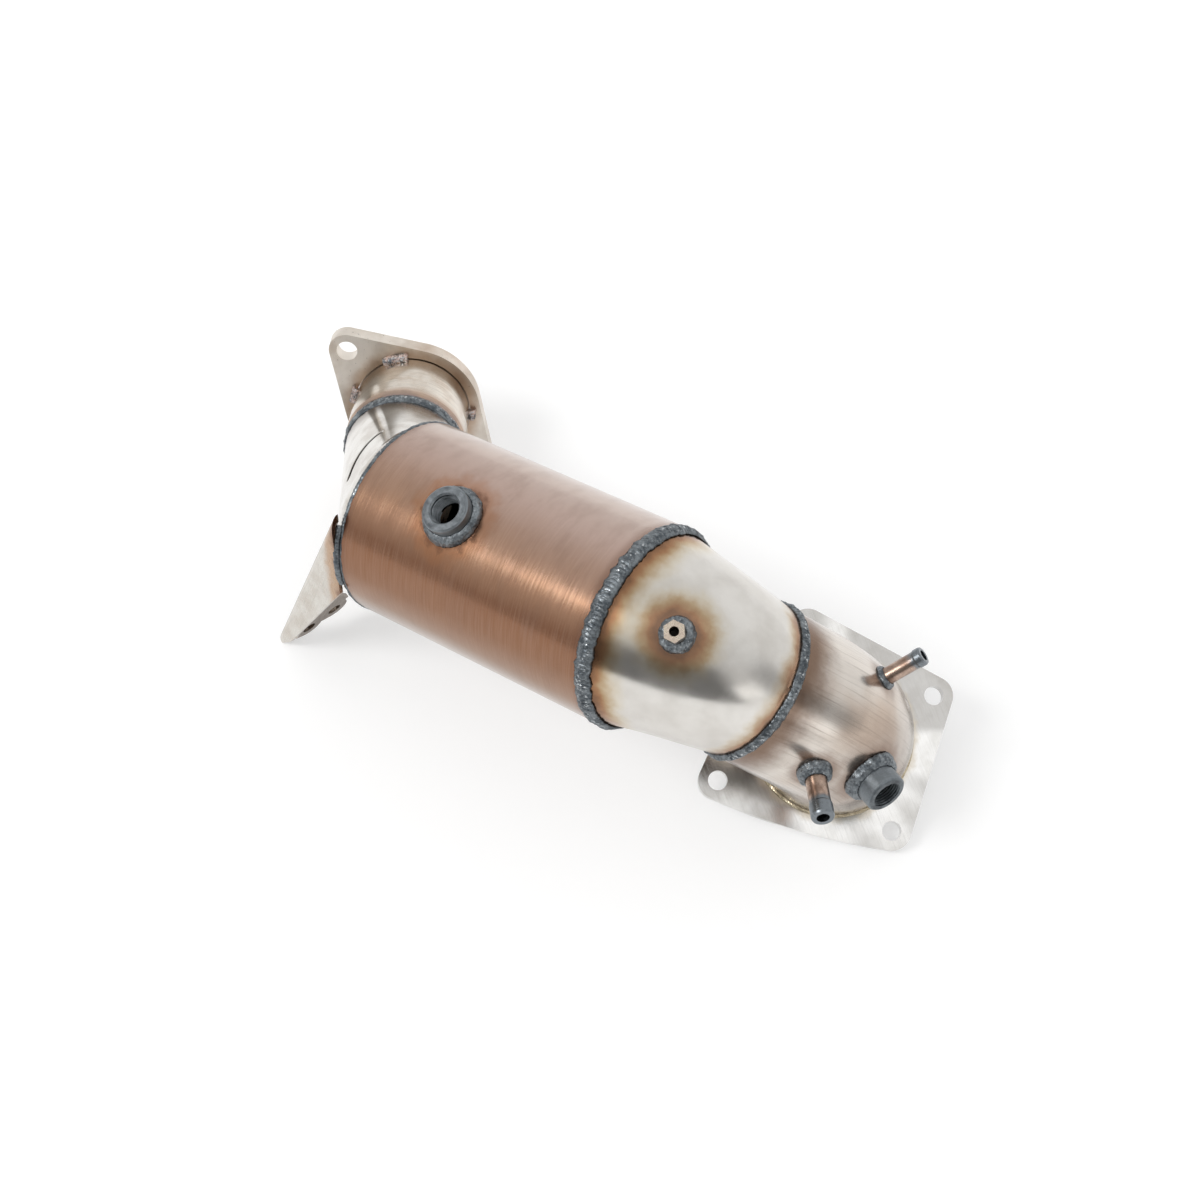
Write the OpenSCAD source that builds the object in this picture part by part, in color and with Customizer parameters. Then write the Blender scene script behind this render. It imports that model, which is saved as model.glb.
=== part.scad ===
// Downpipe with a catalytic converter: a four-bolt inlet flange, a tight elbow, a bent reducing
// cone, the converter can, an offset rear cone and a two-bolt outlet flange.
// The pieces are laid out in the can's frame, +Z from the can's rear weld to its front weld and
// +X towards the inside of the inlet bend. rested() then lays the whole part as it comes to rest.

/* [Can] */
// Outside diameter of the can
can_d = 114.3; // [108:0.1:122]
// Length of the can between its two end welds
can_len = 165; // [150:1:200]
// Sheet thickness of the can
can_wall = 2; // [1.5:0.1:2.5]

/* [Catalyst] */
// Length of the honeycomb core
core_len = 68; // [50:1:74]
// Distance from the can's front end to the core
core_setback = 11; // [9:1:14]
// Thickness of the mat that holds the core in the can
mat_t = 4; // [3:0.5:6]
// Width of one square channel of the core
cell_w = 6.4; // [5:0.2:8]
// Thickness of the webs between channels
cell_web = 1.6; // [1.2:0.1:2.4]
// Solid skin left round the channels
core_skin = 1.2; // [1:0.1:3]

/* [Inlet cone] */
// Bend of the cone, from the can's axis to the inlet pipe's axis
cone_turn = 56; // [50:1:60]
// Straight stretch of the cone before its bend
cone_lead = 7; // [5:0.5:14]
// Inside radius of the cone's bend
cone_inside_r = 7.6; // [5:0.1:12]
// Straight neck between the cone's bend and the elbow
cone_neck = 5.5; // [5:0.5:12]
// How early the cone narrows along its bend, 1 for an even taper
cone_taper = 0.8; // [0.6:0.05:1.2]
// How far the cone slides into the can
cone_lap = 6; // [4:0.5:8]
// Sheet thickness of the cones
cone_wall = 2; // [1.5:0.1:2.5]

/* [Inlet elbow] */
// Outside diameter of the inlet pipe
inlet_d = 88.9; // [84:0.1:92]
// Wall of the inlet pipe
inlet_wall = 2; // [1.5:0.1:3]
// Bend of the elbow, from its axis at the cone to its axis at the flange
elbow_turn = 61; // [55:1:66]
// Centre line radius of the elbow
elbow_bend_r = 59; // [54:1:75]
// Straight stretch of the elbow at the cone
elbow_lead = 31; // [26:1:40]
// Straight stretch of the elbow at the flange
elbow_tail = 4; // [3:0.5:10]
// Twist of the elbow about its axis at the cone
elbow_twist = -7.3; // [-15:0.1:15]

/* [Inlet flange] */
// Thickness of the inlet flange
inlet_flange_t = 8; // [6:0.5:12]
// Diameter of the four stud holes
inlet_hole_d = 11; // [9:0.1:12]
// Distance from the pipe's centre to the three close stud holes
inlet_hole_r = 63; // [61:0.5:68]
// Distance from the pipe's centre to the far stud hole
inlet_far_r = 69.8; // [66:0.2:76]
// Angle between neighbouring close stud holes
inlet_hole_step = 80; // [74:1:86]
// Turn of the hole pattern about the pipe
inlet_flange_turn = 135.7; // [125:0.1:145]
// Corner radius round the stud holes
inlet_corner_r = 11; // [10:0.5:14]
// How far the two long edges bow outwards
inlet_bow = 3.4; // [2:0.1:5]
// How far the pipe's end stays behind the flange's mating face
pipe_setback = 2; // [1:0.5:3]

/* [Outlet] */
// Bend from the can's axis to the outlet's axis
outlet_turn = 54; // [48:1:58]
// Direction of that bend round the can
outlet_roll = 45.6; // [40:0.1:50]
// Distance behind the can at which the two axes meet
outlet_corner = 14; // [12:0.5:18]
// Distance from there to the outlet weld
outlet_reach = 65; // [62:1:74]
// Outside diameter of the outlet pipe
outlet_d = 70; // [66:0.1:74]
// Wall of the outlet pipe
outlet_wall = 2; // [1.5:0.1:3]
// Length of the collar from the outlet weld to the flange
collar_len = 47; // [42:1:56]
// Height of the rolled step round the collar
collar_step = 1.1; // [0.6:0.1:1.8]
// Distance from the outlet weld to the end of the collar's wider part
collar_step_at = 21.6; // [18:0.2:26]
// Length of the slope at each end of the collar's wider part
collar_slope = 2; // [1:0.1:3]
// Length of the rear cone's rim behind the can
rim_len = 9; // [8:0.5:12]
// Radius of the rear cone where its rim ends
rim_r = 51; // [49:0.5:52]
// Straight part of the rim behind the can
rim_straight = 2; // [1:0.5:3]
// How far the rim bulges between its straight part and its end
rim_bulge = 0.7; // [0:0.1:1]
// How far the rear cone slides into the can
rear_lap = 6; // [4:0.5:8]

/* [Rear crease] */
// Direction of the crease in the rear cone, round the can from the side of the outlet
crease_turn = 120.4; // [112:0.1:128]
// Distance of the crease's crown behind the can
crease_back = 29.4; // [26:0.1:31]
// Distance of the crease's crown sideways from that direction
crease_side = 11.4; // [8:0.1:14]
// Radius of the crease's outer edge
crease_bend_r = 43; // [38:0.5:50]
// Arc over which the crease runs
crease_span = 49; // [30:1:52]
// Width of the crease at its middle
crease_w = 2.2; // [1.8:0.1:2.6]
// Shift of its inner edge, by which the crease widens towards its round end
crease_flare = 3; // [1:0.5:3.5]
// Width of the crease's round end
crease_end_w = 4.2; // [4.2:0.1:5]
// Depth of the crease
crease_depth = 1.3; // [0.8:0.1:1.5]

/* [Outlet flange] */
// Thickness of the outlet flange
outlet_flange_t = 10; // [8:0.5:14]
// Distance between the two bolt holes
outlet_bolt_pitch = 110; // [104:1:124]
// Diameter of the two bolt holes
outlet_hole_d = 12.7; // [10:0.1:13.5]
// Radius of the flange round the pipe
outlet_flange_r = 41.5; // [40.5:0.5:46]
// Radius of the flange's two ears
outlet_ear_r = 11; // [10.5:0.5:13]
// Direction of the ears round the outlet pipe
outlet_ear_turn = 46; // [36:1:56]
// Gap between the collar and the flange's bore
collar_gap = 0.6; // [0.3:0.1:1]

/* [Sensor bungs] */
// Outside diameter of a sensor bung
bung_d = 27; // [26:0.5:30]
// Height of the can's bung above the can
bung_h = 10.5; // [9:0.5:16]
// Core diameter of the sensor thread, M18 x 1.5
bung_bore_d = 16.4; // [14:0.1:17]
// Chamfer at the mouth of the can's bung
bung_mouth = 1; // [0.5:0.1:1.5]
// Distance of the can's bung from the can's rear weld
can_bung_z = 64; // [56:1:68]
// Direction of the can's bung round the can
can_bung_turn = 172.8; // [160:0.1:180]
// Outside diameter of the elbow's bung
elbow_bung_d = 23.5; // [23:0.5:27]
// Height of the elbow's bung above the elbow
elbow_bung_h = 14.5; // [13:0.5:20]
// Place of the elbow's bung along the elbow's bend
elbow_bung_at = 27; // [24:1:30]
// Direction of the elbow's bung round the elbow
elbow_bung_turn = 208; // [204:1:212]

/* [Pressure taps] */
// Width across flats of the hexagonal tap on the cone
tap_af = 10.5; // [10:0.5:14]
// Height of the hexagonal tap above the cone
tap_h = 11; // [9:0.5:14]
// Bore of the hexagonal tap
tap_bore_d = 5.2; // [4:0.1:6]
// Place of the tap along the cone's bend
tap_at = 18.6; // [14:0.1:28]
// Direction of the tap round the cone
tap_turn = 178.6; // [170:0.1:186]
// Outside diameter of the slim stub pipe
slim_stub_d = 9.5; // [8:0.1:11]
// Length of the slim stub pipe
slim_stub_len = 25; // [20:1:32]
// Length of the slim stub's wider end
slim_end_len = 4; // [3:0.5:6]
// Bore of the slim stub pipe
slim_bore_d = 6; // [5:0.1:6.5]
// Place of the slim stub along the elbow's bend
slim_stub_at = 19; // [15:1:26]
// Direction of the slim stub round the elbow
slim_stub_turn = 136.6; // [128:0.1:145]
// Outside diameter of the stout stub pipe
stout_stub_d = 11.6; // [11:0.1:13]
// Length of the stout stub pipe
stout_stub_len = 30; // [24:1:36]
// Length of the stout stub's wider end
stout_end_len = 8; // [6:0.5:10]
// Bore of the stout stub pipe
stout_bore_d = 7; // [6:0.1:8]
// Growth in diameter at the stubs' wider ends
stub_end_step = 1; // [0.6:0.1:1.6]
// Place of the stout stub along the elbow's bend
stout_stub_at = 6; // [4:1:9]
// Direction of the stout stub round the elbow
stout_stub_turn = 227.9; // [224:0.1:232]

/* [Hanger bracket] */
// Sheet thickness of the bracket
bracket_t = 2.5; // [2:0.25:4]
// Direction of the bracket's face round the can
bracket_turn = 229; // [224:0.5:234]
// Distance from the can's axis to the bracket's face
bracket_out = 57.5; // [57.4:0.1:59]
// Distance from that direction back to the bracket's long edge
bracket_side = 27.6; // [24:0.1:29]
// Distance of the bracket's corner behind the can
bracket_back = 6.5; // [5:0.1:8]
// Lean of the bracket's face towards its tip
bracket_lean = 8.7; // [6:0.1:10]
// Slant of the bracket's long edge across the can's axis
bracket_slant = 59.5; // [56:0.1:63]
// Length of the bracket's long edge
bracket_len = 139.5; // [132:0.1:146]
// Width of the bracket at the can
bracket_w = 27; // [24:0.5:29]
// Width of the bracket near its tip
bracket_tip_w = 11; // [9:0.5:14]
// Outside radius of the rolled long edge
bracket_roll_r = 6; // [4:0.5:7]
// Distance along the long edge over which the bracket keeps its full width
bracket_full = 38; // [30:1:44]
// How far the bracket's tip is cut back
bracket_point = 10; // [6:1:14]
// Distance of the mounting web from the long edge
web_in = 10.5; // [8:0.5:12]
// Start of the web along the long edge
web_from = 61; // [54:1:66]
// End of the web along the long edge
web_to = 123; // [120:1:128]
// Radius of the mounting web round its bolt holes
eye_r = 9; // [8:0.5:10]
// Diameter of the two bolt holes in the web
eye_hole_d = 8.3; // [7:0.1:9]
// Place of the shallow bolt hole along the web
eye_near_x = 115.8; // [112:0.1:118]
// Depth of the shallow bolt hole below the bracket's face
eye_near_y = 9; // [8:0.5:11]
// Place of the deep bolt hole along the web
eye_far_x = 107.8; // [100:0.1:110]
// Depth of the deep bolt hole below the bracket's face
eye_far_y = 25.5; // [23:0.5:28]

/* [Welds] */
// Length of the bead from the can's front edge onto the cone
front_bead_w = 8.6; // [6:0.1:10]
// Rise of that bead above the line from the can to the cone
front_bead_h = 1.8; // [1.2:0.1:3]
// Length of the bead from the can's rear edge onto the rear cone
rear_bead_w = 2.6; // [2:0.1:5]
// Rise of that bead above the line from the can to the rear cone
rear_bead_h = 1.2; // [0.8:0.1:2]
// How far both beads grip onto the can
bead_grip = 0.6; // [0.3:0.1:1.5]
// Width of the beads round the pipes
pipe_bead_w = 6; // [5:0.5:9]
// Height of the bead between the cone and the elbow
pipe_bead_h = 1.7; // [1:0.1:2.5]
// Height of the flat bead at the outlet
outlet_bead_h = 1.1; // [0.8:0.1:2]
// Height of the fine bead between the elbow and the inlet flange
flange_bead = 2; // [1.5:0.1:3]
// How far the weld collar of a bung or of the stout stub spreads round it
collar_bead = 4; // [3:0.5:6]
// How far the weld collar climbs a bung
collar_rise = 5; // [4:0.5:7]
// How far the weld collar climbs the stout stub
stout_rise = 6; // [4:0.5:7]
// How far the tap's weld collar spreads round it
tap_bead = 5; // [4:0.5:6]
// How far the weld collar climbs the tap
tap_rise = 4; // [3:0.5:4.5]
// How far the slim stub's weld spreads round it
slim_bead = 2.4; // [2:0.1:3]
// Radius of the tack welds on the outlet flange
tack_r = 3.4; // [2.5:0.1:4.5]
// Radius of the bead that holds the bracket
bracket_bead_r = 2; // [1.5:0.1:3]
// Start of that bead round the can's rear weld, ahead of the bracket's face
bracket_bead_from = 25; // [12:1:26]
// Arc that the bead runs from there
bracket_bead_span = 38; // [24:1:40]

/* [Rest] */
// Turn of the can about its own axis at rest
rest_roll = 26.657; // [0:0.001:60]
// Rise of the can's front end at rest
rest_pitch = 12.498; // [0:0.001:40]
// Shift along the can at rest
rest_x = -98.3; // [-300:0.01:300]
// Shift across the can at rest
rest_y = -25.34; // [-300:0.01:300]
// Lift above the resting surface
rest_z = 94.92; // [0:0.01:300]

/* [Hidden] */
$fn = 96;
// Sides of the two sheet cones, and the steps along their outer and inner skins
loft_sides = 48;
outer_steps = 12;
inner_steps = 6;
// Clearance of a slip joint
slip = 0.15;
// Length by which a cutter passes a face
past = 1;
// Step that keeps two joined shapes from sharing a face or a tangent
seam = 0.02;
// Step at which the elbow's sized end is smaller than its bend
end_step = 0.15;
// Depth at which a boss starts inside its pipe, before the pipe is cut away
boss_sink = 5;
// Chamfer round a boss's rim
boss_chamfer = 1;

can_r = can_d / 2;
can_in = can_r - can_wall;
cone_r = can_in - slip;
inlet_r = inlet_d / 2;
outlet_r = outlet_d / 2;
core_r = can_in - mat_t;
pivot_x = cone_inside_r + cone_r;
outlet_bore_r = outlet_r - outlet_wall;
inlet_bore_r = inlet_r - inlet_wall;
eye_near = [eye_near_x, eye_near_y];
eye_far = [eye_far_x, eye_far_y];

// Place of a bend's end and of the frames along the part

module past_bend(radius, turn) {
    translate([radius * (1 - cos(turn)), 0, radius * sin(turn)])
        rotate([0, turn, 0])
            children();
}

module at_elbow_start() {
    translate([cone_end[0], 0, cone_end[1]])
        rotate([0, cone_turn, 0])
            rotate([0, 0, elbow_twist])
                children();
}

module at_elbow(turn) {
    at_elbow_start()
        translate([0, 0, elbow_lead])
            past_bend(elbow_bend_r, turn)
                children();
}

module at_inlet_flange() {
    at_elbow(elbow_turn)
        translate([0, 0, elbow_tail])
            rotate([0, 0, inlet_flange_turn])
                children();
}

module at_outlet(distance) {
    translate([0, 0, -outlet_corner])
        rotate([0, 180 - outlet_turn, outlet_roll])
            translate([0, 0, distance])
                children();
}

// A frame whose +Z leaves a pipe of this radius squarely, in the direction turn round it
module on_pipe(radius, turn) {
    rotate([0, 0, turn])
        translate([radius, 0, 0])
            rotate([0, 90, 0])
                children();
}

module on_can() {
    translate([0, 0, can_bung_z])
        on_pipe(can_r, can_bung_turn)
            children();
}

module on_cone() {
    translate([tap_ring[0], 0, tap_ring[1]])
        rotate([0, tap_ring[2], 0])
            on_pipe(tap_ring[3], tap_turn)
                children();
}

// +X along the bracket's long edge to its tip, +Z out of its face
module at_bracket() {
    rotate([0, 0, bracket_turn])
        translate([bracket_out, -bracket_side, -bracket_back])
            rotate([0, 90 + bracket_lean, 0])
                rotate([0, 0, bracket_slant])
                    children();
}

// Lays the part on the surface as it comes to rest
module rested() {
    translate([rest_x, rest_y, rest_z])
        rotate([rest_roll, -rest_pitch, 0])
            rotate([0, 90, 0])
                children();
}

// Sheet cones, each a row of rings [x, z, tilt, radius in the plane of its bend, radius across it]

// Round ring at x, z
function round_ring(x, z, tilt, radius) = [x, z, tilt, radius, radius];

function cone_ring(t, wall) =
    let (r = cone_r + (inlet_r - cone_r) * pow(t, cone_taper), w = cone_turn * t)
    [pivot_x - (cone_inside_r + r) * cos(w),
     can_len + cone_lead + (cone_inside_r + r) * sin(w),
     w, r - wall, r - wall];

cone_bend_end = cone_ring(1, 0);
// Centre of the joint between the cone and the elbow
cone_end = [cone_bend_end[0] + cone_neck * sin(cone_turn),
            cone_bend_end[1] + cone_neck * cos(cone_turn)];
tap_ring = cone_ring(tap_at / cone_turn, 0);

function cone_rings(wall, steps) = concat(
    [round_ring(0, can_len - cone_lap, 0, cone_r - wall)],
    [for (i = [0 : steps]) cone_ring(i / steps, wall)],
    [round_ring(cone_end[0], cone_end[1], cone_turn, inlet_r - wall)]);

// The rear cone leaves its rim at a crease and runs straight to a short neck at the outlet weld
function on_outlet(distance) = [distance * sin(outlet_turn),
                                outlet_corner + distance * cos(outlet_turn)];
rear_end = on_outlet(outlet_reach - pipe_bead_w / 2 - slip);
rear_lip = on_outlet(outlet_reach);

function rear_ring(t, wall) =
    let (from = [rim_r * (1 - t), 0],
         to = outlet_r * t * [cos(outlet_turn), sin(outlet_turn)],
         side = from + to)
    [rear_end[0] * t, rim_len + (rear_end[1] - rim_len) * t, atan2(side[1], side[0]),
     norm(side) - wall, rim_r * (1 - t) + outlet_r * t - wall];

function rear_rings(wall, steps) = concat(
    [round_ring(0, -rear_lap, 0, cone_r - wall), round_ring(0, rim_straight, 0, cone_r - wall),
     round_ring(0, (rim_straight + rim_len) / 2, 0, (cone_r + rim_r) / 2 + rim_bulge - wall)],
    [for (i = [0 : steps]) rear_ring(i / steps, wall)],
    [round_ring(rear_lip[0], rear_lip[1], outlet_turn, outlet_r - wall)]);

function ring_points(s) = [
    for (k = [0 : loft_sides - 1])
        let (a = 360 * k / loft_sides)
        [s[0] + s[3] * cos(a) * cos(s[2]), s[4] * sin(a), s[1] - s[3] * cos(a) * sin(s[2])]];

// Closed skin over rows of rings that end where they began: out along one wall, back in the other
module loft_shell(outer, inner) {
    rings = concat(outer, [for (i = [len(inner) - 1 : -1 : 0]) inner[i]]);
    count = len(rings);
    points = [for (s = rings) each ring_points(s)];
    faces = [
        for (i = [0 : count - 1], k = [0 : loft_sides - 1])
            let (j = (i + 1) % count, m = (k + 1) % loft_sides,
                 a = i * loft_sides + k, b = i * loft_sides + m,
                 c = j * loft_sides + m, d = j * loft_sides + k)
            each [[a, d, c], [a, c, b]]];
    polyhedron(points, faces);
}

module loft_solid(rings) {
    count = len(rings);
    points = [for (s = rings) each ring_points(s)];
    sides = [
        for (i = [0 : count - 2], k = [0 : loft_sides - 1])
            let (m = (k + 1) % loft_sides,
                 a = i * loft_sides + k, b = i * loft_sides + m)
            each [[a, a + loft_sides, b + loft_sides], [a, b + loft_sides, b]]];
    first = [for (k = [0 : loft_sides - 1]) k];
    last = [for (k = [0 : loft_sides - 1]) count * loft_sides - 1 - k];
    polyhedron(points, concat(sides, [first, last]));
}

// Plain shapes

module tube(outer_r, inner_r, length) {
    difference() {
        cylinder(r = outer_r, h = length);
        translate([0, 0, -past])
            cylinder(r = inner_r, h = length + 2 * past);
    }
}

module bent_rod(bend_r, turn, radius) {
    translate([bend_r, 0, 0])
        rotate([90, 0, 180])
            rotate_extrude(angle = turn)
                translate([bend_r, 0])
                    circle(r = radius);
}

// The elbow's straight lead and bend as a solid rod, run on by this much at the cone
module elbow_rod(radius, extra = 0) {
    at_elbow_start() {
        translate([0, 0, -extra])
            cylinder(r = radius, h = elbow_lead + extra);
        translate([0, 0, elbow_lead])
            bent_rod(elbow_bend_r, elbow_turn, radius);
    }
}

// The straight end in the flange, sized a touch smaller and started inside the bend
module elbow_end_rod(radius, extra = 0) {
    at_elbow(elbow_turn)
        translate([0, 0, -past])
            cylinder(r = radius - end_step,
                     h = past + elbow_tail + inlet_flange_t - pipe_setback + extra);
}

// Bead of this width and height lying on a pipe, centred on z = 0
module pipe_bead(pipe_r, width, height) {
    bead_r = (pow(width / 2, 2) + pow(height, 2)) / (2 * height);
    rotate_extrude()
        difference() {
            translate([pipe_r + height - bead_r, 0])
                circle(r = bead_r);
            translate([pipe_r - 2 * bead_r, -2 * bead_r])
                square([2 * bead_r, 4 * bead_r]);
        }
}

// Bead over the step from the can's edge at z = 0 down to a cone that slides in it
module edge_bead(length, rise) {
    upper = [can_r, -bead_grip];
    lower = [cone_r + slip, length];
    span = norm(lower - upper);
    bead_r = (pow(span / 2, 2) + pow(rise, 2)) / (2 * rise);
    out = turned((lower - upper) / span, -90);
    centre = (upper + lower) / 2 + (rise - bead_r) * out;
    rotate_extrude()
        difference() {
            translate(centre)
                circle(r = bead_r);
            translate([0, -2 * bead_r])
                square([can_r, 2 * bead_r]);
            translate([0, -past])
                square([cone_r + slip, length + 2 * bead_r]);
        }
}

// Depth to which a round foot of this radius reaches down the side of a pipe, and a little more
function saddle(pipe_r, foot_r) = pipe_r - sqrt(pipe_r * pipe_r - foot_r * foot_r) + past;

// Sloped bead round the foot of a round boss that stands on a pipe, its crown at z = 0
module foot_bead(boss_r, spread, height, pipe_r) {
    depth = saddle(pipe_r, boss_r + spread);
    rotate_extrude()
        polygon([[boss_r + slip / 2, -depth], [boss_r + spread * 0.9, -depth],
                 [boss_r + spread, -height * 0.3], [boss_r + spread * 0.75, height * 0.55],
                 [boss_r + slip / 2, height]]);
}

// Round boss with a chamfered rim, its foot sunk below z = 0
module boss(diameter, height) {
    translate([0, 0, -boss_sink])
        cylinder(d = diameter, h = boss_sink + height - boss_chamfer);
    translate([0, 0, height - boss_chamfer])
        cylinder(d1 = diameter, d2 = diameter - 2 * boss_chamfer, h = boss_chamfer);
}

// Cutter for a bore right through a boss or stub and the wall below it
module through_bore(diameter, height) {
    translate([0, 0, -2 * boss_sink])
        cylinder(d = diameter, h = height + 3 * boss_sink);
}

// Stub pipe with a wider end, its foot in the pipe's wall
module stub(diameter, length, end_len, bore) {
    wide = diameter + stub_end_step;
    difference() {
        union() {
            translate([0, 0, -inlet_wall])
                cylinder(d = diameter, h = length + inlet_wall);
            translate([0, 0, length - end_len - boss_chamfer])
                cylinder(d1 = diameter, d2 = wide, h = boss_chamfer);
            translate([0, 0, length - end_len])
                cylinder(d = wide, h = end_len - boss_chamfer);
            translate([0, 0, length - boss_chamfer])
                cylinder(d1 = wide, d2 = diameter + seam, h = boss_chamfer);
        }
        through_bore(bore, length);
    }
}

function turned(point, angle) = [
    point[0] * cos(angle) - point[1] * sin(angle),
    point[0] * sin(angle) + point[1] * cos(angle)];

// Corners of the strip that is tangent to two circles, seen along the line between them
function tangent_strip(from, to, from_r, to_r) =
    let (span = norm(to - from), along = (to - from) / span,
         lean = acos((from_r - to_r) / span))
    [from, from + from_r * turned(along, lean), to + to_r * turned(along, lean), to,
     to + to_r * turned(along, -lean), from + from_r * turned(along, -lean)];

// Inlet side

inlet_holes = [
    inlet_hole_r * [cos(inlet_hole_step), sin(inlet_hole_step)],
    inlet_hole_r * [1, 0],
    inlet_hole_r * [cos(inlet_hole_step), -sin(inlet_hole_step)],
    inlet_far_r * [-1, 0]];

// Long edge from a side hole to the far hole, bowed outwards
module bowed_edge(side) {
    from = inlet_holes[3];
    to = inlet_holes[side == 1 ? 0 : 2];
    span = norm(to - from);
    bow_r = (pow(span / 2, 2) + pow(inlet_bow, 2)) / (2 * inlet_bow);
    along = (to - from) / span;
    out = turned(along, side * 90);
    middle = (from + to) / 2;
    centre = middle + out * (inlet_corner_r + inlet_bow - bow_r);
    intersection() {
        translate(centre)
            cylinder(r = bow_r, h = inlet_flange_t, $fn = 360);
        linear_extrude(inlet_flange_t)
            polygon([from, from + out * 2 * inlet_corner_r, to + out * 2 * inlet_corner_r, to]);
    }
}

module inlet_flange_blank() {
    linear_extrude(inlet_flange_t)
        polygon(inlet_holes);
    for (hole = inlet_holes)
        translate(hole)
            cylinder(r = inlet_corner_r, h = inlet_flange_t);
    for (k = [0, 1])
        linear_extrude(inlet_flange_t)
            polygon(tangent_strip(inlet_holes[k], inlet_holes[k + 1],
                                  inlet_corner_r - seam, inlet_corner_r - seam));
    bowed_edge(1);
    bowed_edge(-1);
}

module inlet_flange() {
    color("#b9bab8")
        at_inlet_flange()
            difference() {
                inlet_flange_blank();
                translate([0, 0, -past]) {
                    cylinder(r = inlet_r + slip, h = inlet_flange_t + 2 * past);
                    for (hole = inlet_holes)
                        translate(hole)
                            cylinder(d = inlet_hole_d, h = inlet_flange_t + 2 * past);
                }
            }
}

module inlet_flange_weld() {
    color("#b39a6a")
        at_inlet_flange()
            rotate_extrude()
                difference() {
                    translate([inlet_r, 0])
                        circle(r = flange_bead);
                    translate([inlet_r - 2 * flange_bead, -2 * flange_bead])
                        square([2 * flange_bead, 4 * flange_bead]);
                    translate([inlet_r - flange_bead, 0])
                        square(3 * flange_bead);
                }
}

module boss_bores() {
    at_elbow(elbow_bung_at)
        on_pipe(inlet_r, elbow_bung_turn)
            through_bore(bung_bore_d, 0);
    at_elbow(slim_stub_at)
        on_pipe(inlet_r, slim_stub_turn)
            through_bore(slim_stub_d + 2 * slip, 0);
    at_elbow(stout_stub_at)
        on_pipe(inlet_r, stout_stub_turn)
            through_bore(stout_stub_d + 2 * slip, 0);
}

module inlet_elbow() {
    color("#c2b9ae")
        difference() {
            union() {
                elbow_rod(inlet_r);
                elbow_end_rod(inlet_r);
            }
            elbow_rod(inlet_bore_r, past);
            elbow_end_rod(inlet_bore_r, past);
            boss_bores();
        }
}

module elbow_weld() {
    color("#70767c")
        at_elbow_start()
            pipe_bead(inlet_r, pipe_bead_w, pipe_bead_h);
}

module inlet_cone() {
    color("#c9c6c0")
        difference() {
            loft_shell(cone_rings(0, outer_steps), cone_rings(cone_wall, inner_steps));
            on_cone()
                through_bore(tap_bore_d, 0);
        }
}

// Can and catalyst

module front_weld() {
    color("#6f757b")
        translate([0, 0, can_len])
            edge_bead(front_bead_w, front_bead_h);
}

module can_shell() {
    color("#b0775a")
        difference() {
            tube(can_r, can_in, can_len);
            on_can()
                through_bore(bung_bore_d, 0);
        }
}

module support_mat() {
    color("#e6e2d6")
        translate([0, 0, can_len - core_setback - core_len])
            tube(can_in - slip, core_r + slip, core_len);
}

module catalyst_core() {
    pitch = cell_w + cell_web;
    count = ceil(core_r / pitch);
    reach = core_r - core_skin;
    color("#cdbfa3")
        translate([0, 0, can_len - core_setback - core_len])
            difference() {
                cylinder(r = core_r, h = core_len);
                for (i = [-count : count], j = [-count : count])
                    if (norm([abs(i), abs(j)] * pitch + [cell_w, cell_w] / 2) < reach)
                        translate([i * pitch - cell_w / 2, j * pitch - cell_w / 2, -past])
                            cube([cell_w, cell_w, core_len + 2 * past]);
            }
}

module rear_weld() {
    color("#7d8287")
        rotate([180, 0, 0])
            edge_bead(rear_bead_w, rear_bead_h);
}

// Outlet side

// Cutter for the crease: a strip between two arcs and its round end, kept out of the wall's inside
module crease() {
    end_w = crease_w + crease_flare * sin(crease_span / 2);
    difference() {
        rotate([0, 0, -crease_turn])
            translate([0, crease_side, crease_back - crease_bend_r])
                rotate([0, 90, 0]) {
                    difference() {
                        rotate([0, 0, 180 - crease_span / 2])
                            rotate_extrude(angle = crease_span)
                                square([crease_bend_r, can_r]);
                        translate([0, crease_flare, -past])
                            cylinder(r = crease_bend_r - crease_w, h = can_r + 2 * past);
                    }
                    rotate([0, 0, 180 + crease_span / 2])
                        translate([crease_bend_r - end_w / 2, 0, 0])
                            cylinder(d = crease_end_w, h = can_r);
                }
        loft_solid(rear_rings(crease_depth, outer_steps));
    }
}

module rear_cone() {
    color("#d0cec9")
        rotate([180, 0, outlet_roll])
            difference() {
                loft_shell(rear_rings(0, outer_steps), rear_rings(cone_wall, inner_steps));
                crease();
            }
}

module outlet_weld() {
    color("#70767c")
        at_outlet(outlet_reach)
            pipe_bead(outlet_r, pipe_bead_w, outlet_bead_h);
}

module outlet_collar() {
    wide = outlet_r + collar_step;
    length = collar_len + outlet_flange_t - pipe_setback;
    wide_end = pipe_bead_w + collar_slope;
    color("#c4bdb2")
        at_outlet(outlet_reach)
            difference() {
                union() {
                    cylinder(r = outlet_r, h = length);
                    translate([0, 0, pipe_bead_w])
                        cylinder(r1 = outlet_r, r2 = wide, h = collar_slope);
                    translate([0, 0, wide_end])
                        cylinder(r = wide, h = collar_step_at - wide_end);
                    translate([0, 0, collar_step_at])
                        cylinder(r1 = wide, r2 = outlet_r, h = collar_slope);
                }
                translate([0, 0, -past])
                    cylinder(r = outlet_bore_r, h = length + 2 * past);
            }
}

ear_centre = [outlet_bolt_pitch / 2, 0];
// Middle and arc of each short weld that holds the collar in the flange
tack_turns = [76, 16, 183, 262];
tack_spans = [24, 16, 10, 16];

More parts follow.
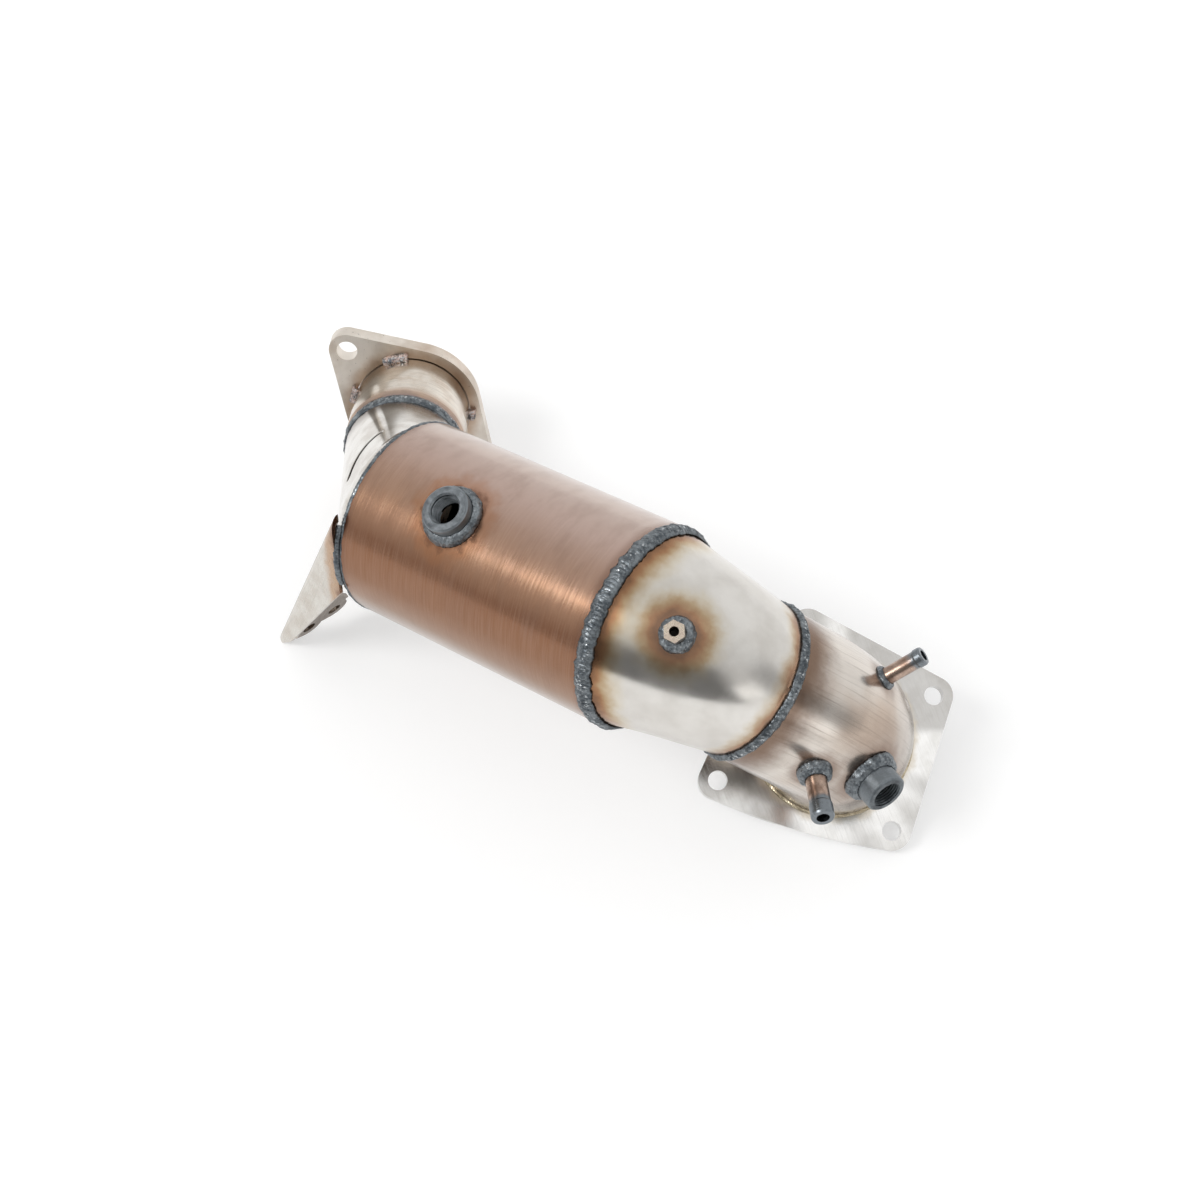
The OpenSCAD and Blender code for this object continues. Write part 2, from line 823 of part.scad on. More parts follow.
module outlet_flange() {
    color("#b5aea4")
        at_outlet(outlet_reach + collar_len)
            rotate([0, 0, outlet_ear_turn])
                difference() {
                    union() {
                        cylinder(r = outlet_flange_r, h = outlet_flange_t);
                        for (side = [-1, 1]) {
                            translate(side * ear_centre)
                                cylinder(r = outlet_ear_r, h = outlet_flange_t);
                            linear_extrude(outlet_flange_t)
                                polygon(tangent_strip([0, 0], side * ear_centre,
                                                      outlet_flange_r - seam, outlet_ear_r - seam));
                        }
                    }
                    translate([0, 0, -past]) {
                        cylinder(r = outlet_r + collar_gap, h = outlet_flange_t + 2 * past);
                        for (side = [-1, 1])
                            translate(side * ear_centre)
                                cylinder(d = outlet_hole_d, h = outlet_flange_t + 2 * past);
                    }
                }
}

module outlet_tacks() {
    color("#8b8078")
        at_outlet(outlet_reach + collar_len)
            for (k = [0 : len(tack_turns) - 1])
                rotate([0, 0, tack_turns[k] - tack_spans[k] / 2])
                    rotate_extrude(angle = tack_spans[k])
                        difference() {
                            translate([outlet_r + collar_gap, -collar_gap])
                                circle(r = tack_r);
                            translate([outlet_r - 3 * tack_r, -3 * tack_r])
                                square([3 * tack_r, 6 * tack_r]);
                            translate([outlet_r - past, 0])
                                square(3 * tack_r);
                        }
}

// Bosses

module can_bung() {
    color("#747a80")
        difference() {
            on_can()
                boss(bung_d, bung_h);
            translate([0, 0, can_bung_z - bung_d])
                cylinder(r = can_r, h = 2 * bung_d);
            on_can()
                through_bore(bung_bore_d, bung_h);
            on_can()
                translate([0, 0, bung_h - bung_mouth])
                    cylinder(d1 = bung_bore_d, d2 = bung_bore_d + 2 * (bung_mouth + past),
                             h = bung_mouth + past);
        }
}

module can_bung_weld() {
    color("#6b7278")
        difference() {
            on_can()
                foot_bead(bung_d / 2, collar_bead, collar_rise, can_r);
            translate([0, 0, can_bung_z - bung_d])
                cylinder(r = can_r, h = 2 * bung_d);
        }
}

module elbow_bung() {
    color("#5d646b")
        difference() {
            at_elbow(elbow_bung_at)
                on_pipe(inlet_r, elbow_bung_turn)
                    boss(elbow_bung_d, elbow_bung_h);
            elbow_rod(inlet_r);
            at_elbow(elbow_bung_at)
                on_pipe(inlet_r, elbow_bung_turn)
                    through_bore(bung_bore_d, elbow_bung_h);
        }
}

module elbow_bung_weld() {
    color("#6b7278")
        difference() {
            at_elbow(elbow_bung_at)
                on_pipe(inlet_r, elbow_bung_turn)
                    foot_bead(elbow_bung_d / 2, collar_bead, collar_rise, inlet_r);
            elbow_rod(inlet_r);
        }
}

module cone_tap() {
    color("#c9b79a")
        on_cone()
            difference() {
                union() {
                    translate([0, 0, slip])
                        cylinder(d = tap_af, h = tap_h / 2);
                    translate([0, 0, tap_h / 2])
                        cylinder(d = tap_af / cos(30), h = tap_h / 2, $fn = 6);
                }
                through_bore(tap_bore_d, tap_h);
            }
}

module cone_tap_weld() {
    color("#6b7278")
        difference() {
            on_cone()
                foot_bead(tap_af / 2, tap_bead, tap_rise, inlet_r);
            loft_solid(cone_rings(0, outer_steps));
        }
}

module slim_stub() {
    color("#b98a68")
        at_elbow(slim_stub_at)
            on_pipe(inlet_r, slim_stub_turn)
                stub(slim_stub_d, slim_stub_len, slim_end_len, slim_bore_d);
}

module slim_stub_weld() {
    color("#8b8078")
        difference() {
            at_elbow(slim_stub_at)
                on_pipe(inlet_r, slim_stub_turn)
                    foot_bead(slim_stub_d / 2 + slip, slim_bead, slim_bead, inlet_r);
            elbow_rod(inlet_r, $fn = 240);
        }
}

module stout_stub() {
    color("#b98a68")
        at_elbow(stout_stub_at)
            on_pipe(inlet_r, stout_stub_turn)
                stub(stout_stub_d, stout_stub_len, stout_end_len, stout_bore_d);
}

module stout_stub_weld() {
    color("#6b7278")
        difference() {
            at_elbow(stout_stub_at)
                on_pipe(inlet_r, stout_stub_turn)
                    foot_bead(stout_stub_d / 2 + slip, collar_bead, stout_rise, inlet_r);
            elbow_rod(inlet_r);
        }
}

// Hanger bracket: a face with a rolled long edge, and a mounting web square to it

module bracket_face() {
    start = -bracket_w / 2;
    translate([0, 0, -bracket_t])
        linear_extrude(bracket_t)
            polygon([[start, bracket_roll_r], [bracket_len, bracket_roll_r],
                     [bracket_len - bracket_point, bracket_tip_w],
                     [bracket_full, bracket_w], [start, bracket_w]]);
    translate([start, bracket_roll_r, -bracket_roll_r])
        rotate([90, 0, 90])
            linear_extrude(bracket_len - start)
                difference() {
                    circle(r = bracket_roll_r);
                    circle(r = bracket_roll_r - bracket_t);
                    translate([0, -2 * bracket_roll_r])
                        square(4 * bracket_roll_r);
                    translate([-2 * bracket_roll_r, -2 * bracket_roll_r])
                        square([4 * bracket_roll_r, 2 * bracket_roll_r]);
                }
}

// Outline of the web, x along the bracket and y below its face
module bracket_web() {
    linear_extrude(bracket_t)
        polygon([[web_from, bracket_t / 2], [web_to, bracket_t / 2], eye_near + [eye_r, 0], eye_near,
                 eye_far + [eye_r, 0], eye_far, eye_far + eye_r * [-1, 0.9],
                 eye_far + [-2 * eye_r, 0]]);
    for (eye = [eye_near, eye_far])
        translate(eye)
            cylinder(r = eye_r, h = bracket_t);
}

module hanger_bracket() {
    color("#bdb6ac")
        difference() {
            at_bracket() {
                bracket_face();
                difference() {
                    translate([0, web_in, 0])
                        rotate([-90, 0, 0])
                            bracket_web();
                    for (eye = [eye_near, eye_far])
                        translate([eye[0], 0, -eye[1]])
                            rotate([-90, 0, 0])
                                cylinder(d = eye_hole_d, h = 3 * web_in);
                }
            }
            // Mouth round the rear cone's rim, and the end along the rear weld
            translate([0, 0, -rim_len - past])
                cylinder(r = cone_r + slip, h = 2 * rim_len);
            translate([0, 0, -rear_bead_w - 2 * slip])
                cylinder(r = 2 * can_r, h = can_len);
        }
}

// Bead that joins the bracket's end to the can's rear weld
module bracket_weld() {
    color("#6f757b")
        difference() {
            rotate([0, 0, bracket_turn - bracket_bead_from])
                rotate_extrude(angle = bracket_bead_span)
                    translate([cone_r + 2 * slip + bracket_bead_r, -rear_bead_w])
                        circle(r = bracket_bead_r);
            rear_weld();
            hanger_bracket();
            cylinder(r = can_r, h = can_len);
        }
}

rested() inlet_flange();
rested() inlet_flange_weld();
rested() inlet_elbow();
rested() elbow_weld();
rested() inlet_cone();
rested() front_weld();
rested() can_shell();
rested() support_mat();
rested() catalyst_core();
rested() rear_weld();
rested() rear_cone();
rested() outlet_weld();
rested() outlet_collar();
rested() outlet_flange();
rested() outlet_tacks();
rested() can_bung();
rested() can_bung_weld();
rested() elbow_bung();
rested() elbow_bung_weld();
rested() cone_tap();
rested() cone_tap_weld();
rested() slim_stub();
rested() slim_stub_weld();
rested() stout_stub();
rested() stout_stub_weld();
rested() hanger_bracket();
rested() bracket_weld();
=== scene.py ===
"""Looks of a welded downpipe with a catalytic converter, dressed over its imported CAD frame."""
import math

import bmesh
import bpy
from mathutils import Euler, Matrix, Vector, noise


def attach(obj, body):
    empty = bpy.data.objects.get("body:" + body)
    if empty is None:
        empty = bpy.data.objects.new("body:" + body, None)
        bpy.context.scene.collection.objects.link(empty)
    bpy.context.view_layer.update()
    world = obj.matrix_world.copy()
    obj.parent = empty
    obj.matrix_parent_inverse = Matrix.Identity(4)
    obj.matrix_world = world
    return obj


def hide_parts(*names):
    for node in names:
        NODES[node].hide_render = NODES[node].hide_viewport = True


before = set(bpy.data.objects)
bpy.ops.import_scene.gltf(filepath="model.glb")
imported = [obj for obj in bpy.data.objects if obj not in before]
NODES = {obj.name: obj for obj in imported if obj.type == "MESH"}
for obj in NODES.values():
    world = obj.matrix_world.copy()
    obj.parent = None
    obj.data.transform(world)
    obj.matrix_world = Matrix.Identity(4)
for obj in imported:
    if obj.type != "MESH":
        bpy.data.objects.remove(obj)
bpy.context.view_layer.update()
MM = 0.001

# Sizes in millimetres and degrees, as the part has them
REST_SHIFT = (-98.3, -25.34, 94.92)
REST_ROLL = 26.657
REST_PITCH = 12.498
CAN_R = 57.15
CAN_LEN = 165
CONE_R = 55.0
CONE_TURN = 56
CONE_LEAD = 7
CONE_INSIDE_R = 7.6
CONE_NECK = 5.5
CONE_TAPER = 0.8
PIPE_R = 44.45
ELBOW_TURN = 61
ELBOW_BEND_R = 59
ELBOW_LEAD = 31
ELBOW_TAIL = 4
ELBOW_TWIST = -7.3
OUTLET_TURN = 54
OUTLET_ROLL = 45.6
OUTLET_CORNER = 14
OUTLET_REACH = 65
OUTLET_R = 35
COLLAR_LEN = 47
BUNG_R = 13.5
BUNG_BORE_R = 8.2
ELBOW_BUNG_R = 11.75
FRONT_BEAD = 8.6
REAR_BEAD = 2.6
CONE_LAP = 6
REAR_LAP = 6
REAR_STOP = 3.15
RIM_LEN = 9
RIM_R = 51.0
RIM_STRAIGHT = 2
RIM_BULGE = 0.7
RIM_STEPS = 10
CREASE_TURN = 120.4
CREASE_BACK = 29.4
CREASE_SIDE = 11.4
CREASE_BEND_R = 43
CREASE_SPAN = 49
CREASE_W = 2.6
CREASE_FLARE = 3
CREASE_END_W = 4.2
CREASE_DEPTH = 1.6
WALL = 2
CONE_SIDES = 160
THREAD_PITCH = 1.5
THREAD_DEPTH = 0.5
THREAD_STEPS = 40
BEAD_POINTS = 11
BEAD_SUNK = -0.5

# Bosses on the can, the elbow and the bent cone: place along it, then direction round it
CAN_BUNG_AT = (64, 172.8)
ELBOW_BUNG_AT = (27, 208)
CONE_TAP_AT = (18.6, 178.6)
SLIM_STUB_AT = (19, 136.6)
STOUT_STUB_AT = (6, 227.9)


def place(x=0, y=0, z=0, turn_x=0, turn_y=0, turn_z=0):
    """A frame moved by millimetres, after it was turned by degrees about x, y and z."""
    turns = Euler([math.radians(a) for a in (turn_x, turn_y, turn_z)], "XYZ")
    return Matrix.Translation(Vector((x, y, z)) * MM) @ turns.to_matrix().to_4x4()


def past_bend(radius, turn):
    """Frame at this turn of a bend of this radius."""
    a = math.radians(turn)
    return place(radius * (1 - math.cos(a)), 0, radius * math.sin(a), 0, turn, 0)


def on_pipe(radius, turn):
    """+Z leaves a pipe of this radius squarely, in the direction turn round it."""
    return place(turn_z=turn) @ place(x=radius, turn_y=90)


def cone_ring(share):
    """Place, tilt and radius of the bent cone's ring at this share of its bend."""
    radius = CONE_R + (PIPE_R - CONE_R) * share**CONE_TAPER
    w = math.radians(CONE_TURN * share)
    x = CONE_INSIDE_R + CONE_R - (CONE_INSIDE_R + radius) * math.cos(w)
    z = CAN_LEN + CONE_LEAD + (CONE_INSIDE_R + radius) * math.sin(w)
    return x, z, CONE_TURN * share, radius


def on_cone(at, turn):
    """Frame on the bent cone's skin, +Z outwards."""
    x, z, tilt, radius = cone_ring(at / CONE_TURN)
    return CAN @ place(x=x, z=z, turn_y=tilt) @ on_pipe(radius, turn)


CAN = place(*REST_SHIFT, REST_ROLL, -REST_PITCH, 0) @ place(turn_y=90)
bend_end = cone_ring(1)
ELBOW = (CAN @ place(x=bend_end[0], z=bend_end[1], turn_y=CONE_TURN)
         @ place(z=CONE_NECK, turn_z=ELBOW_TWIST))


def at_elbow(turn):
    """Frame on the elbow's axis at this turn of its bend."""
    return ELBOW @ place(z=ELBOW_LEAD) @ past_bend(ELBOW_BEND_R, turn)


INLET = at_elbow(ELBOW_TURN) @ place(z=ELBOW_TAIL, turn_z=135.7)
OUTLET = (CAN @ place(z=-OUTLET_CORNER)
          @ place(turn_y=180 - OUTLET_TURN, turn_z=OUTLET_ROLL) @ place(z=OUTLET_REACH))
OUTLET_FLANGE = OUTLET @ place(z=COLLAR_LEN)
CAN_BUNG = CAN @ place(z=CAN_BUNG_AT[0]) @ on_pipe(CAN_R, CAN_BUNG_AT[1])
ELBOW_BUNG = at_elbow(ELBOW_BUNG_AT[0]) @ on_pipe(PIPE_R, ELBOW_BUNG_AT[1])
CONE_TAP = on_cone(*CONE_TAP_AT)
SLIM_STUB = at_elbow(SLIM_STUB_AT[0]) @ on_pipe(PIPE_R, SLIM_STUB_AT[1])
STOUT_STUB = at_elbow(STOUT_STUB_AT[0]) @ on_pipe(PIPE_R, STOUT_STUB_AT[1])
REAR = CAN @ place(turn_x=180, turn_z=OUTLET_ROLL)
CREASE_INVERSE = (place(turn_z=-CREASE_TURN) @ place(y=CREASE_SIDE, z=CREASE_BACK - CREASE_BEND_R)
                  @ place(turn_y=90)).inverted()
BRACKET = (CAN @ place(turn_z=229) @ place(57.5, -27.6, -6.5) @ place(turn_y=98.7)
           @ place(turn_z=59.5))


# Materials

# Near-black of the inner skins: painted shade inside the can and its pipes
PAINTED_INNER_SHADE = "#241f1c"


def colour(hex_value):
    """Linear colour of an sRGB hex value."""
    parts = [int(hex_value[i:i + 2], 16) / 255 for i in (1, 3, 5)]
    linear = [c / 12.92 if c <= 0.04045 else ((c + 0.055) / 1.055) ** 2.4 for c in parts]
    return (*linear, 1)


def add(tree, kind, inputs=None, **settings):
    """A node with its settings, and its inputs set or linked."""
    node = tree.nodes.new("ShaderNode" + kind)
    for key, value in settings.items():
        setattr(node, key, value)
    for key, value in (inputs or {}).items():
        if isinstance(value, bpy.types.NodeSocket):
            tree.links.new(value, node.inputs[key])
        else:
            node.inputs[key].default_value = value
    return node


def material(name, **sockets):
    """An empty node material with one shader whose plain sockets are set."""
    made = bpy.data.materials.new(name)
    made.use_nodes = True
    tree = made.node_tree
    tree.nodes.clear()
    shader = add(tree, "BsdfPrincipled", sockets)
    add(tree, "OutputMaterial", {"Surface": shader.outputs[0]})
    return made, tree, shader


def local(tree, where):
    """Position in a frame of the part, in millimetres."""
    coords = add(tree, "TexCoord")
    shift, turns, _ = where.decompose()
    moved = add(tree, "Mapping", {"Vector": coords.outputs["Object"], "Location": shift,
                                  "Rotation": turns.to_euler("XYZ"), "Scale": (MM, MM, MM)},
                vector_type="TEXTURE")
    return moved.outputs[0]


def math_node(tree, operation, a, b=0.0):
    """Result of one operation on sockets or numbers."""
    return add(tree, "Math", {0: a, 1: b}, operation=operation).outputs[0]


def stretched(tree, vector, scale):
    """The vector, scaled along each axis."""
    return add(tree, "Mapping", {"Vector": vector, "Scale": scale}).outputs[0]


def clouds(tree, vector, size, detail=3.0, rough=0.55):
    """Noise with features of this size in millimetres."""
    made = add(tree, "TexNoise", {"Vector": vector, "Scale": 1 / size, "Detail": detail,
                                  "Roughness": rough})
    return made.outputs["Fac"]


def ramp(tree, value, low, high, stops):
    """Colours over a value that runs from low to high: stops are (value, hex)."""
    spread = add(tree, "MapRange", {"Value": value, "From Min": low, "From Max": high}).outputs[0]
    node = add(tree, "ValToRGB", {"Fac": spread})
    elements = node.color_ramp.elements
    elements.remove(elements[1])
    for k, (at, hex_value) in enumerate(stops):
        share = (at - low) / (high - low)
        element = elements[0] if k == 0 else elements.new(share)
        element.position = share
        element.color = colour(hex_value)
    return node.outputs[0]


def level(tree, value, low, high, out_low=0.0, out_high=1.0):
    """Soft step between two levels, while the value runs from low to high."""
    made = add(tree, "MapRange", {"Value": value, "From Min": low, "From Max": high,
                                  "To Min": out_low, "To Max": out_high},
               interpolation_type="SMOOTHSTEP")
    return made.outputs[0]


def mix(tree, share, a, b):
    """Colour a, or b where the share is 1, each a hex value or a socket."""
    made = add(tree, "Mix", {0: share}, data_type="RGBA")
    for index, value in ((6, a), (7, b)):
        if isinstance(value, bpy.types.NodeSocket):
            tree.links.new(value, made.inputs[index])
        else:
            made.inputs[index].default_value = colour(value)
    return made.outputs[2]


def blend(tree, share, a, b, swapped=False):
    """Value a, or b where the share is 1, or the other way round."""
    low, high = (3, 2) if swapped else (2, 3)
    made = add(tree, "Mix", {0: share, high: b}, data_type="FLOAT")
    tree.links.new(a, made.inputs[low])
    return made.outputs[0]


def bump(tree, height, distance):
    """Normal of a relief as deep as this distance in millimetres."""
    return add(tree, "Bump", {"Height": height, "Distance": distance * MM,
                              "Strength": 1.0}).outputs[0]


def link(tree, shader, **sockets):
    """Links outputs to the shader's sockets."""
    for name, value in sockets.items():
        tree.links.new(value, shader.inputs[name.replace("_", " ")])


def parts_of(tree, vector):
    """The three parts x, y and z of a vector."""
    return add(tree, "SeparateXYZ", {0: vector}).outputs


def reach(tree, x, y):
    """Length of the sideways part x, y."""
    flat = add(tree, "CombineXYZ", {0: x, 1: y}).outputs[0]
    return add(tree, "VectorMath", {0: flat}, operation="LENGTH").outputs["Value"]


def far_from(tree, where):
    """Distance from the axis of a boss, in millimetres."""
    x, y, _ = parts_of(tree, local(tree, where))
    return reach(tree, x, y)


def inner_skin_shade(tree):
    """The mark of a sheet's inner skin, for the painted shade inside the pipes."""
    return add(tree, "Attribute", attribute_name="inner_shade").outputs["Fac"]


def tinted_can():
    """Brushed stainless sheet, rolled and heated to copper, with painted reflections: greyer on
    its upper side, with darker brown bands.
    """
    made, tree, shader = material("copper_tinted_brushed_stainless_with_painted_reflections", Metallic=1.0,
                                  Anisotropic=0.4)
    around = local(tree, CAN @ place(turn_z=170))
    x, y, z = parts_of(tree, around)
    angle = math_node(tree, "DEGREES", math_node(tree, "ARCTAN2", y, x))
    drift = clouds(tree, stretched(tree, around, (1, 1, 0.35)), 38, 4)
    angle = math_node(tree, "ADD", angle, math_node(tree, "MULTIPLY", math_node(
        tree, "SUBTRACT", drift, 0.5), 22.0))
    # Colour by the angle round the can: its copper heat tint, with painted reflections of the
    # studio in the greyer and darker bands
    tint = ramp(tree, angle, -180, 180, [
        (-180, "#a3958c"), (-90, "#c4b9b3"), (-50, "#c3b3aa"), (-22, "#bba398"), (-6, "#b49584"),
        (14, "#b28b70"), (32, "#8b624a"), (58, "#8e6952"), (76, "#9c7f6c"), (98, "#b9aca3"),
        (180, "#a3958c")])
    # Marks of the brush run round the can, about 0.5 mm apart
    brush = clouds(tree, stretched(tree, around, (0.02, 0.02, 1)), 0.5, 3, 0.6)
    tint = mix(tree, level(tree, brush, 0.35, 0.7, 0.0, 0.1), tint, "#e0c9ba")
    smoke = clouds(tree, stretched(tree, around, (0.5, 0.5, 1)), 13, 5, 0.6)
    tint = mix(tree, level(tree, smoke, 0.42, 0.68, 0.0, 0.2), tint, "#86695a")
    # Bands of heat beside the two end welds
    ends = math_node(tree, "MINIMUM", z, math_node(tree, "SUBTRACT", float(CAN_LEN), z))
    ends = math_node(tree, "ADD", ends, math_node(tree, "MULTIPLY", drift, 6.0))
    tint = mix(tree, level(tree, ends, 9, 3, 0.0, 0.5), tint, "#7d5d4e")
    # Brown halo of uneven width round the bung
    halo = math_node(tree, "ADD", far_from(tree, CAN_BUNG), math_node(tree, "MULTIPLY", math_node(
        tree, "SUBTRACT", clouds(tree, around, 8, 4), 0.5), 16.0))
    tint = mix(tree, level(tree, halo, 30, 20, 0.0, 0.45), tint, "#a8714b")
    tint = mix(tree, level(tree, halo, 21, 17, 0.0, 0.65), tint, "#6b4a3b")
    # Inner skin near-black: painted shade inside the can
    inside = level(tree, reach(tree, x, y), CAN_R - 0.6, CAN_R - 1.0)
    tint = mix(tree, inside, tint, PAINTED_INNER_SHADE)
    rough = level(tree, brush, 0.3, 0.7, 0.17, 0.24)
    axis = CAN.to_3x3() @ Vector((0, 0, 1))
    along = add(tree, "CombineXYZ", {0: axis.x, 1: axis.y, 2: axis.z}).outputs[0]
    link(tree, shader, Base_Color=tint, Roughness=rough, Tangent=along,
         Normal=bump(tree, brush, 0.004))
    return made


def tinted_cone():
    """Satin stainless sheet, pressed and welded: pale, with brown and gold beside the heat."""
    made, tree, shader = material("satin_stainless_with_gold_tints", Metallic=1.0)
    there = local(tree, CAN)
    z = parts_of(tree, there)[2]
    drift = math_node(tree, "SUBTRACT", clouds(tree, there, 11, 4), 0.5)
    grain = clouds(tree, there, 0.7, 3)
    steel = mix(tree, level(tree, clouds(tree, there, 30, 3), 0.35, 0.7), "#dedbd6", "#cfcbc5")
    steel = mix(tree, level(tree, grain, 0.35, 0.65, 0.0, 0.08), steel, "#a5a19b")
    heat = [(0, "#7d5d47"), (3, "#9b7456"), (7, "#b39a78"), (12, "#c9bba0"), (20, "#d6d0c4"),
            (32, "#dedbd6")]
    front = math_node(tree, "ADD", math_node(tree, "SUBTRACT", z, CAN_LEN + FRONT_BEAD),
                      math_node(tree, "MULTIPLY", drift, 10.0))
    steel = mix(tree, level(tree, front, 20, 4), steel, ramp(tree, front, 0, 32, heat))
    uneven = math_node(tree, "SUBTRACT", clouds(tree, there, 7, 4), 0.5)
    tap = math_node(tree, "ADD", math_node(tree, "SUBTRACT", far_from(tree, CONE_TAP), 10.8),
                    math_node(tree, "MULTIPLY", uneven, 8.0))
    steel = mix(tree, level(tree, tap, 19, 5, 0.0, 0.95), steel, ramp(tree, tap, 0, 32, heat))
    neck = parts_of(tree, local(tree, ELBOW))[2]
    neck = math_node(tree, "ADD", math_node(tree, "MULTIPLY", neck, -1.0),
                     math_node(tree, "MULTIPLY", drift, 12.0))
    steel = mix(tree, level(tree, neck, 17, 5, 0.0, 0.9), steel, ramp(tree, neck, 2, 34, [
        (at + 2, hex_value) for at, hex_value in heat]))
    # Near-black disc where the tap's bore meets the sheet: painted shade down the bore
    steel = mix(tree, level(tree, far_from(tree, CONE_TAP), 3.4, 3.0), steel, "#141210")
    # Inner skin near-black: painted shade inside the cone
    steel = mix(tree, inner_skin_shade(tree), steel, PAINTED_INNER_SHADE)
    rough = level(tree, clouds(tree, there, 18, 3), 0.3, 0.7, 0.17, 0.25)
    link(tree, shader, Base_Color=steel, Roughness=rough, Normal=bump(tree, grain, 0.006))
    return made


def clouded_pipe():
    """Satin stainless tube, drawn and bent: brownish clouds and faint lines along it, and a broad
    painted dark reflection round its bung.
    """
    made, tree, shader = material("satin_stainless_tube_with_heat_clouds", Metallic=1.0)
    there = local(tree, ELBOW @ place(x=ELBOW_BEND_R, z=ELBOW_LEAD))
    x, y, z = parts_of(tree, there)
    section = math_node(tree, "SUBTRACT", reach(tree, x, z), float(ELBOW_BEND_R))
    angle = math_node(tree, "ARCTAN2", y, section)
    lines = add(tree, "CombineXYZ", {0: math_node(tree, "MULTIPLY", angle, PIPE_R),
                                     1: math_node(tree, "MULTIPLY", z, 0.03)}).outputs[0]
    drawn = clouds(tree, lines, 1.5, 4, 0.6)
    cloud = clouds(tree, there, 36, 2, 0.4)
    steel = mix(tree, level(tree, cloud, 0.42, 0.7), "#d8d1c9", "#c2b2a4")
    steel = mix(tree, level(tree, drawn, 0.5, 0.72, 0.0, 0.4), steel, "#857a70")
    neck = parts_of(tree, local(tree, ELBOW))[2]
    ragged = clouds(tree, there, 9, 4)
    neck = math_node(tree, "ADD", neck, math_node(tree, "MULTIPLY", ragged, 12.0))
    steel = mix(tree, level(tree, neck, 34, 11, 0.0, 0.9), steel, "#755d4d")
    for where, edge in ((ELBOW_BUNG, 15), (STOUT_STUB, 9), (SLIM_STUB, 6)):
        halo = math_node(tree, "ADD", far_from(tree, where),
                         math_node(tree, "MULTIPLY", ragged, 8.0))
        steel = mix(tree, level(tree, halo, edge + 13, edge + 3, 0.0, 0.75), steel, "#80685a")
    # Broad darker brown zone round the bung: painted reflection of the studio's dark side over the
    # heat-tinted tube
    near = math_node(tree, "ADD", far_from(tree, ELBOW_BUNG),
                     math_node(tree, "MULTIPLY", ragged, 14.0))
    steel = mix(tree, level(tree, near, 52, 24, 0.0, 0.5), steel, "#7c6658")
    rough = level(tree, drawn, 0.3, 0.7, 0.17, 0.26)
    link(tree, shader, Base_Color=steel, Roughness=rough, Normal=bump(tree, drawn, 0.006))
    return made


def polished_rear():
    """Stainless sheet, spun and polished bright behind the can, darker at the outlet weld."""
    made, tree, shader = material("polished_stainless_sheet", Metallic=1.0)
    there = local(tree, CAN)
    grain = clouds(tree, there, 0.6, 3)
    steel = mix(tree, level(tree, clouds(tree, there, 16, 3), 0.4, 0.65), "#e0ddd8", "#c6c0b8")
    near = parts_of(tree, local(tree, OUTLET))[2]
    near = math_node(tree, "ADD", math_node(tree, "MULTIPLY", near, -1.0), math_node(
        tree, "MULTIPLY", clouds(tree, there, 8, 3), 8.0))
    steel = mix(tree, level(tree, near, 26, 9, 0.0, 0.85), steel, "#6e6056")
    groove = add(tree, "Attribute", attribute_name="crease").outputs["Fac"]
    # Near-black in the crease and just beside it: painted shade in the slit
    steel = mix(tree, level(tree, groove, 0.05, 0.4), steel, "#15110f")
    # Inner skin near-black: painted shade inside the rear cone
    steel = mix(tree, inner_skin_shade(tree), steel, PAINTED_INNER_SHADE)
    link(tree, shader, Base_Color=steel, Roughness=level(tree, grain, 0.3, 0.7, 0.1, 0.17),
         Normal=bump(tree, grain, 0.004))
    return made


def collar_steel():
    """Satin stainless tube with a straw tint, ringed by the roll that sized it."""
    made, tree, shader = material("rolled_stainless_collar", Metallic=1.0)
    there = local(tree, OUTLET)
    z = parts_of(tree, there)[2]
    marks = clouds(tree, stretched(tree, there, (0.06, 0.06, 1)), 0.9, 3)
    cloud = clouds(tree, there, 14, 4)
    steel = mix(tree, level(tree, cloud, 0.4, 0.7), "#ded6cb", "#cdbfb0")
    steel = mix(tree, level(tree, marks, 0.45, 0.7, 0.0, 0.2), steel, "#94897d")
    near = math_node(tree, "ADD", z, math_node(tree, "MULTIPLY", cloud, 7.0))
    steel = mix(tree, level(tree, near, 17, 10, 0.0, 0.7), steel, "#b0917a")
    steel = mix(tree, level(tree, near, 12, 6, 0.0, 0.85), steel, "#6c5a5f")
    link(tree, shader, Base_Color=steel, Roughness=level(tree, marks, 0.3, 0.7, 0.16, 0.25),
         Normal=bump(tree, marks, 0.012))
    return made


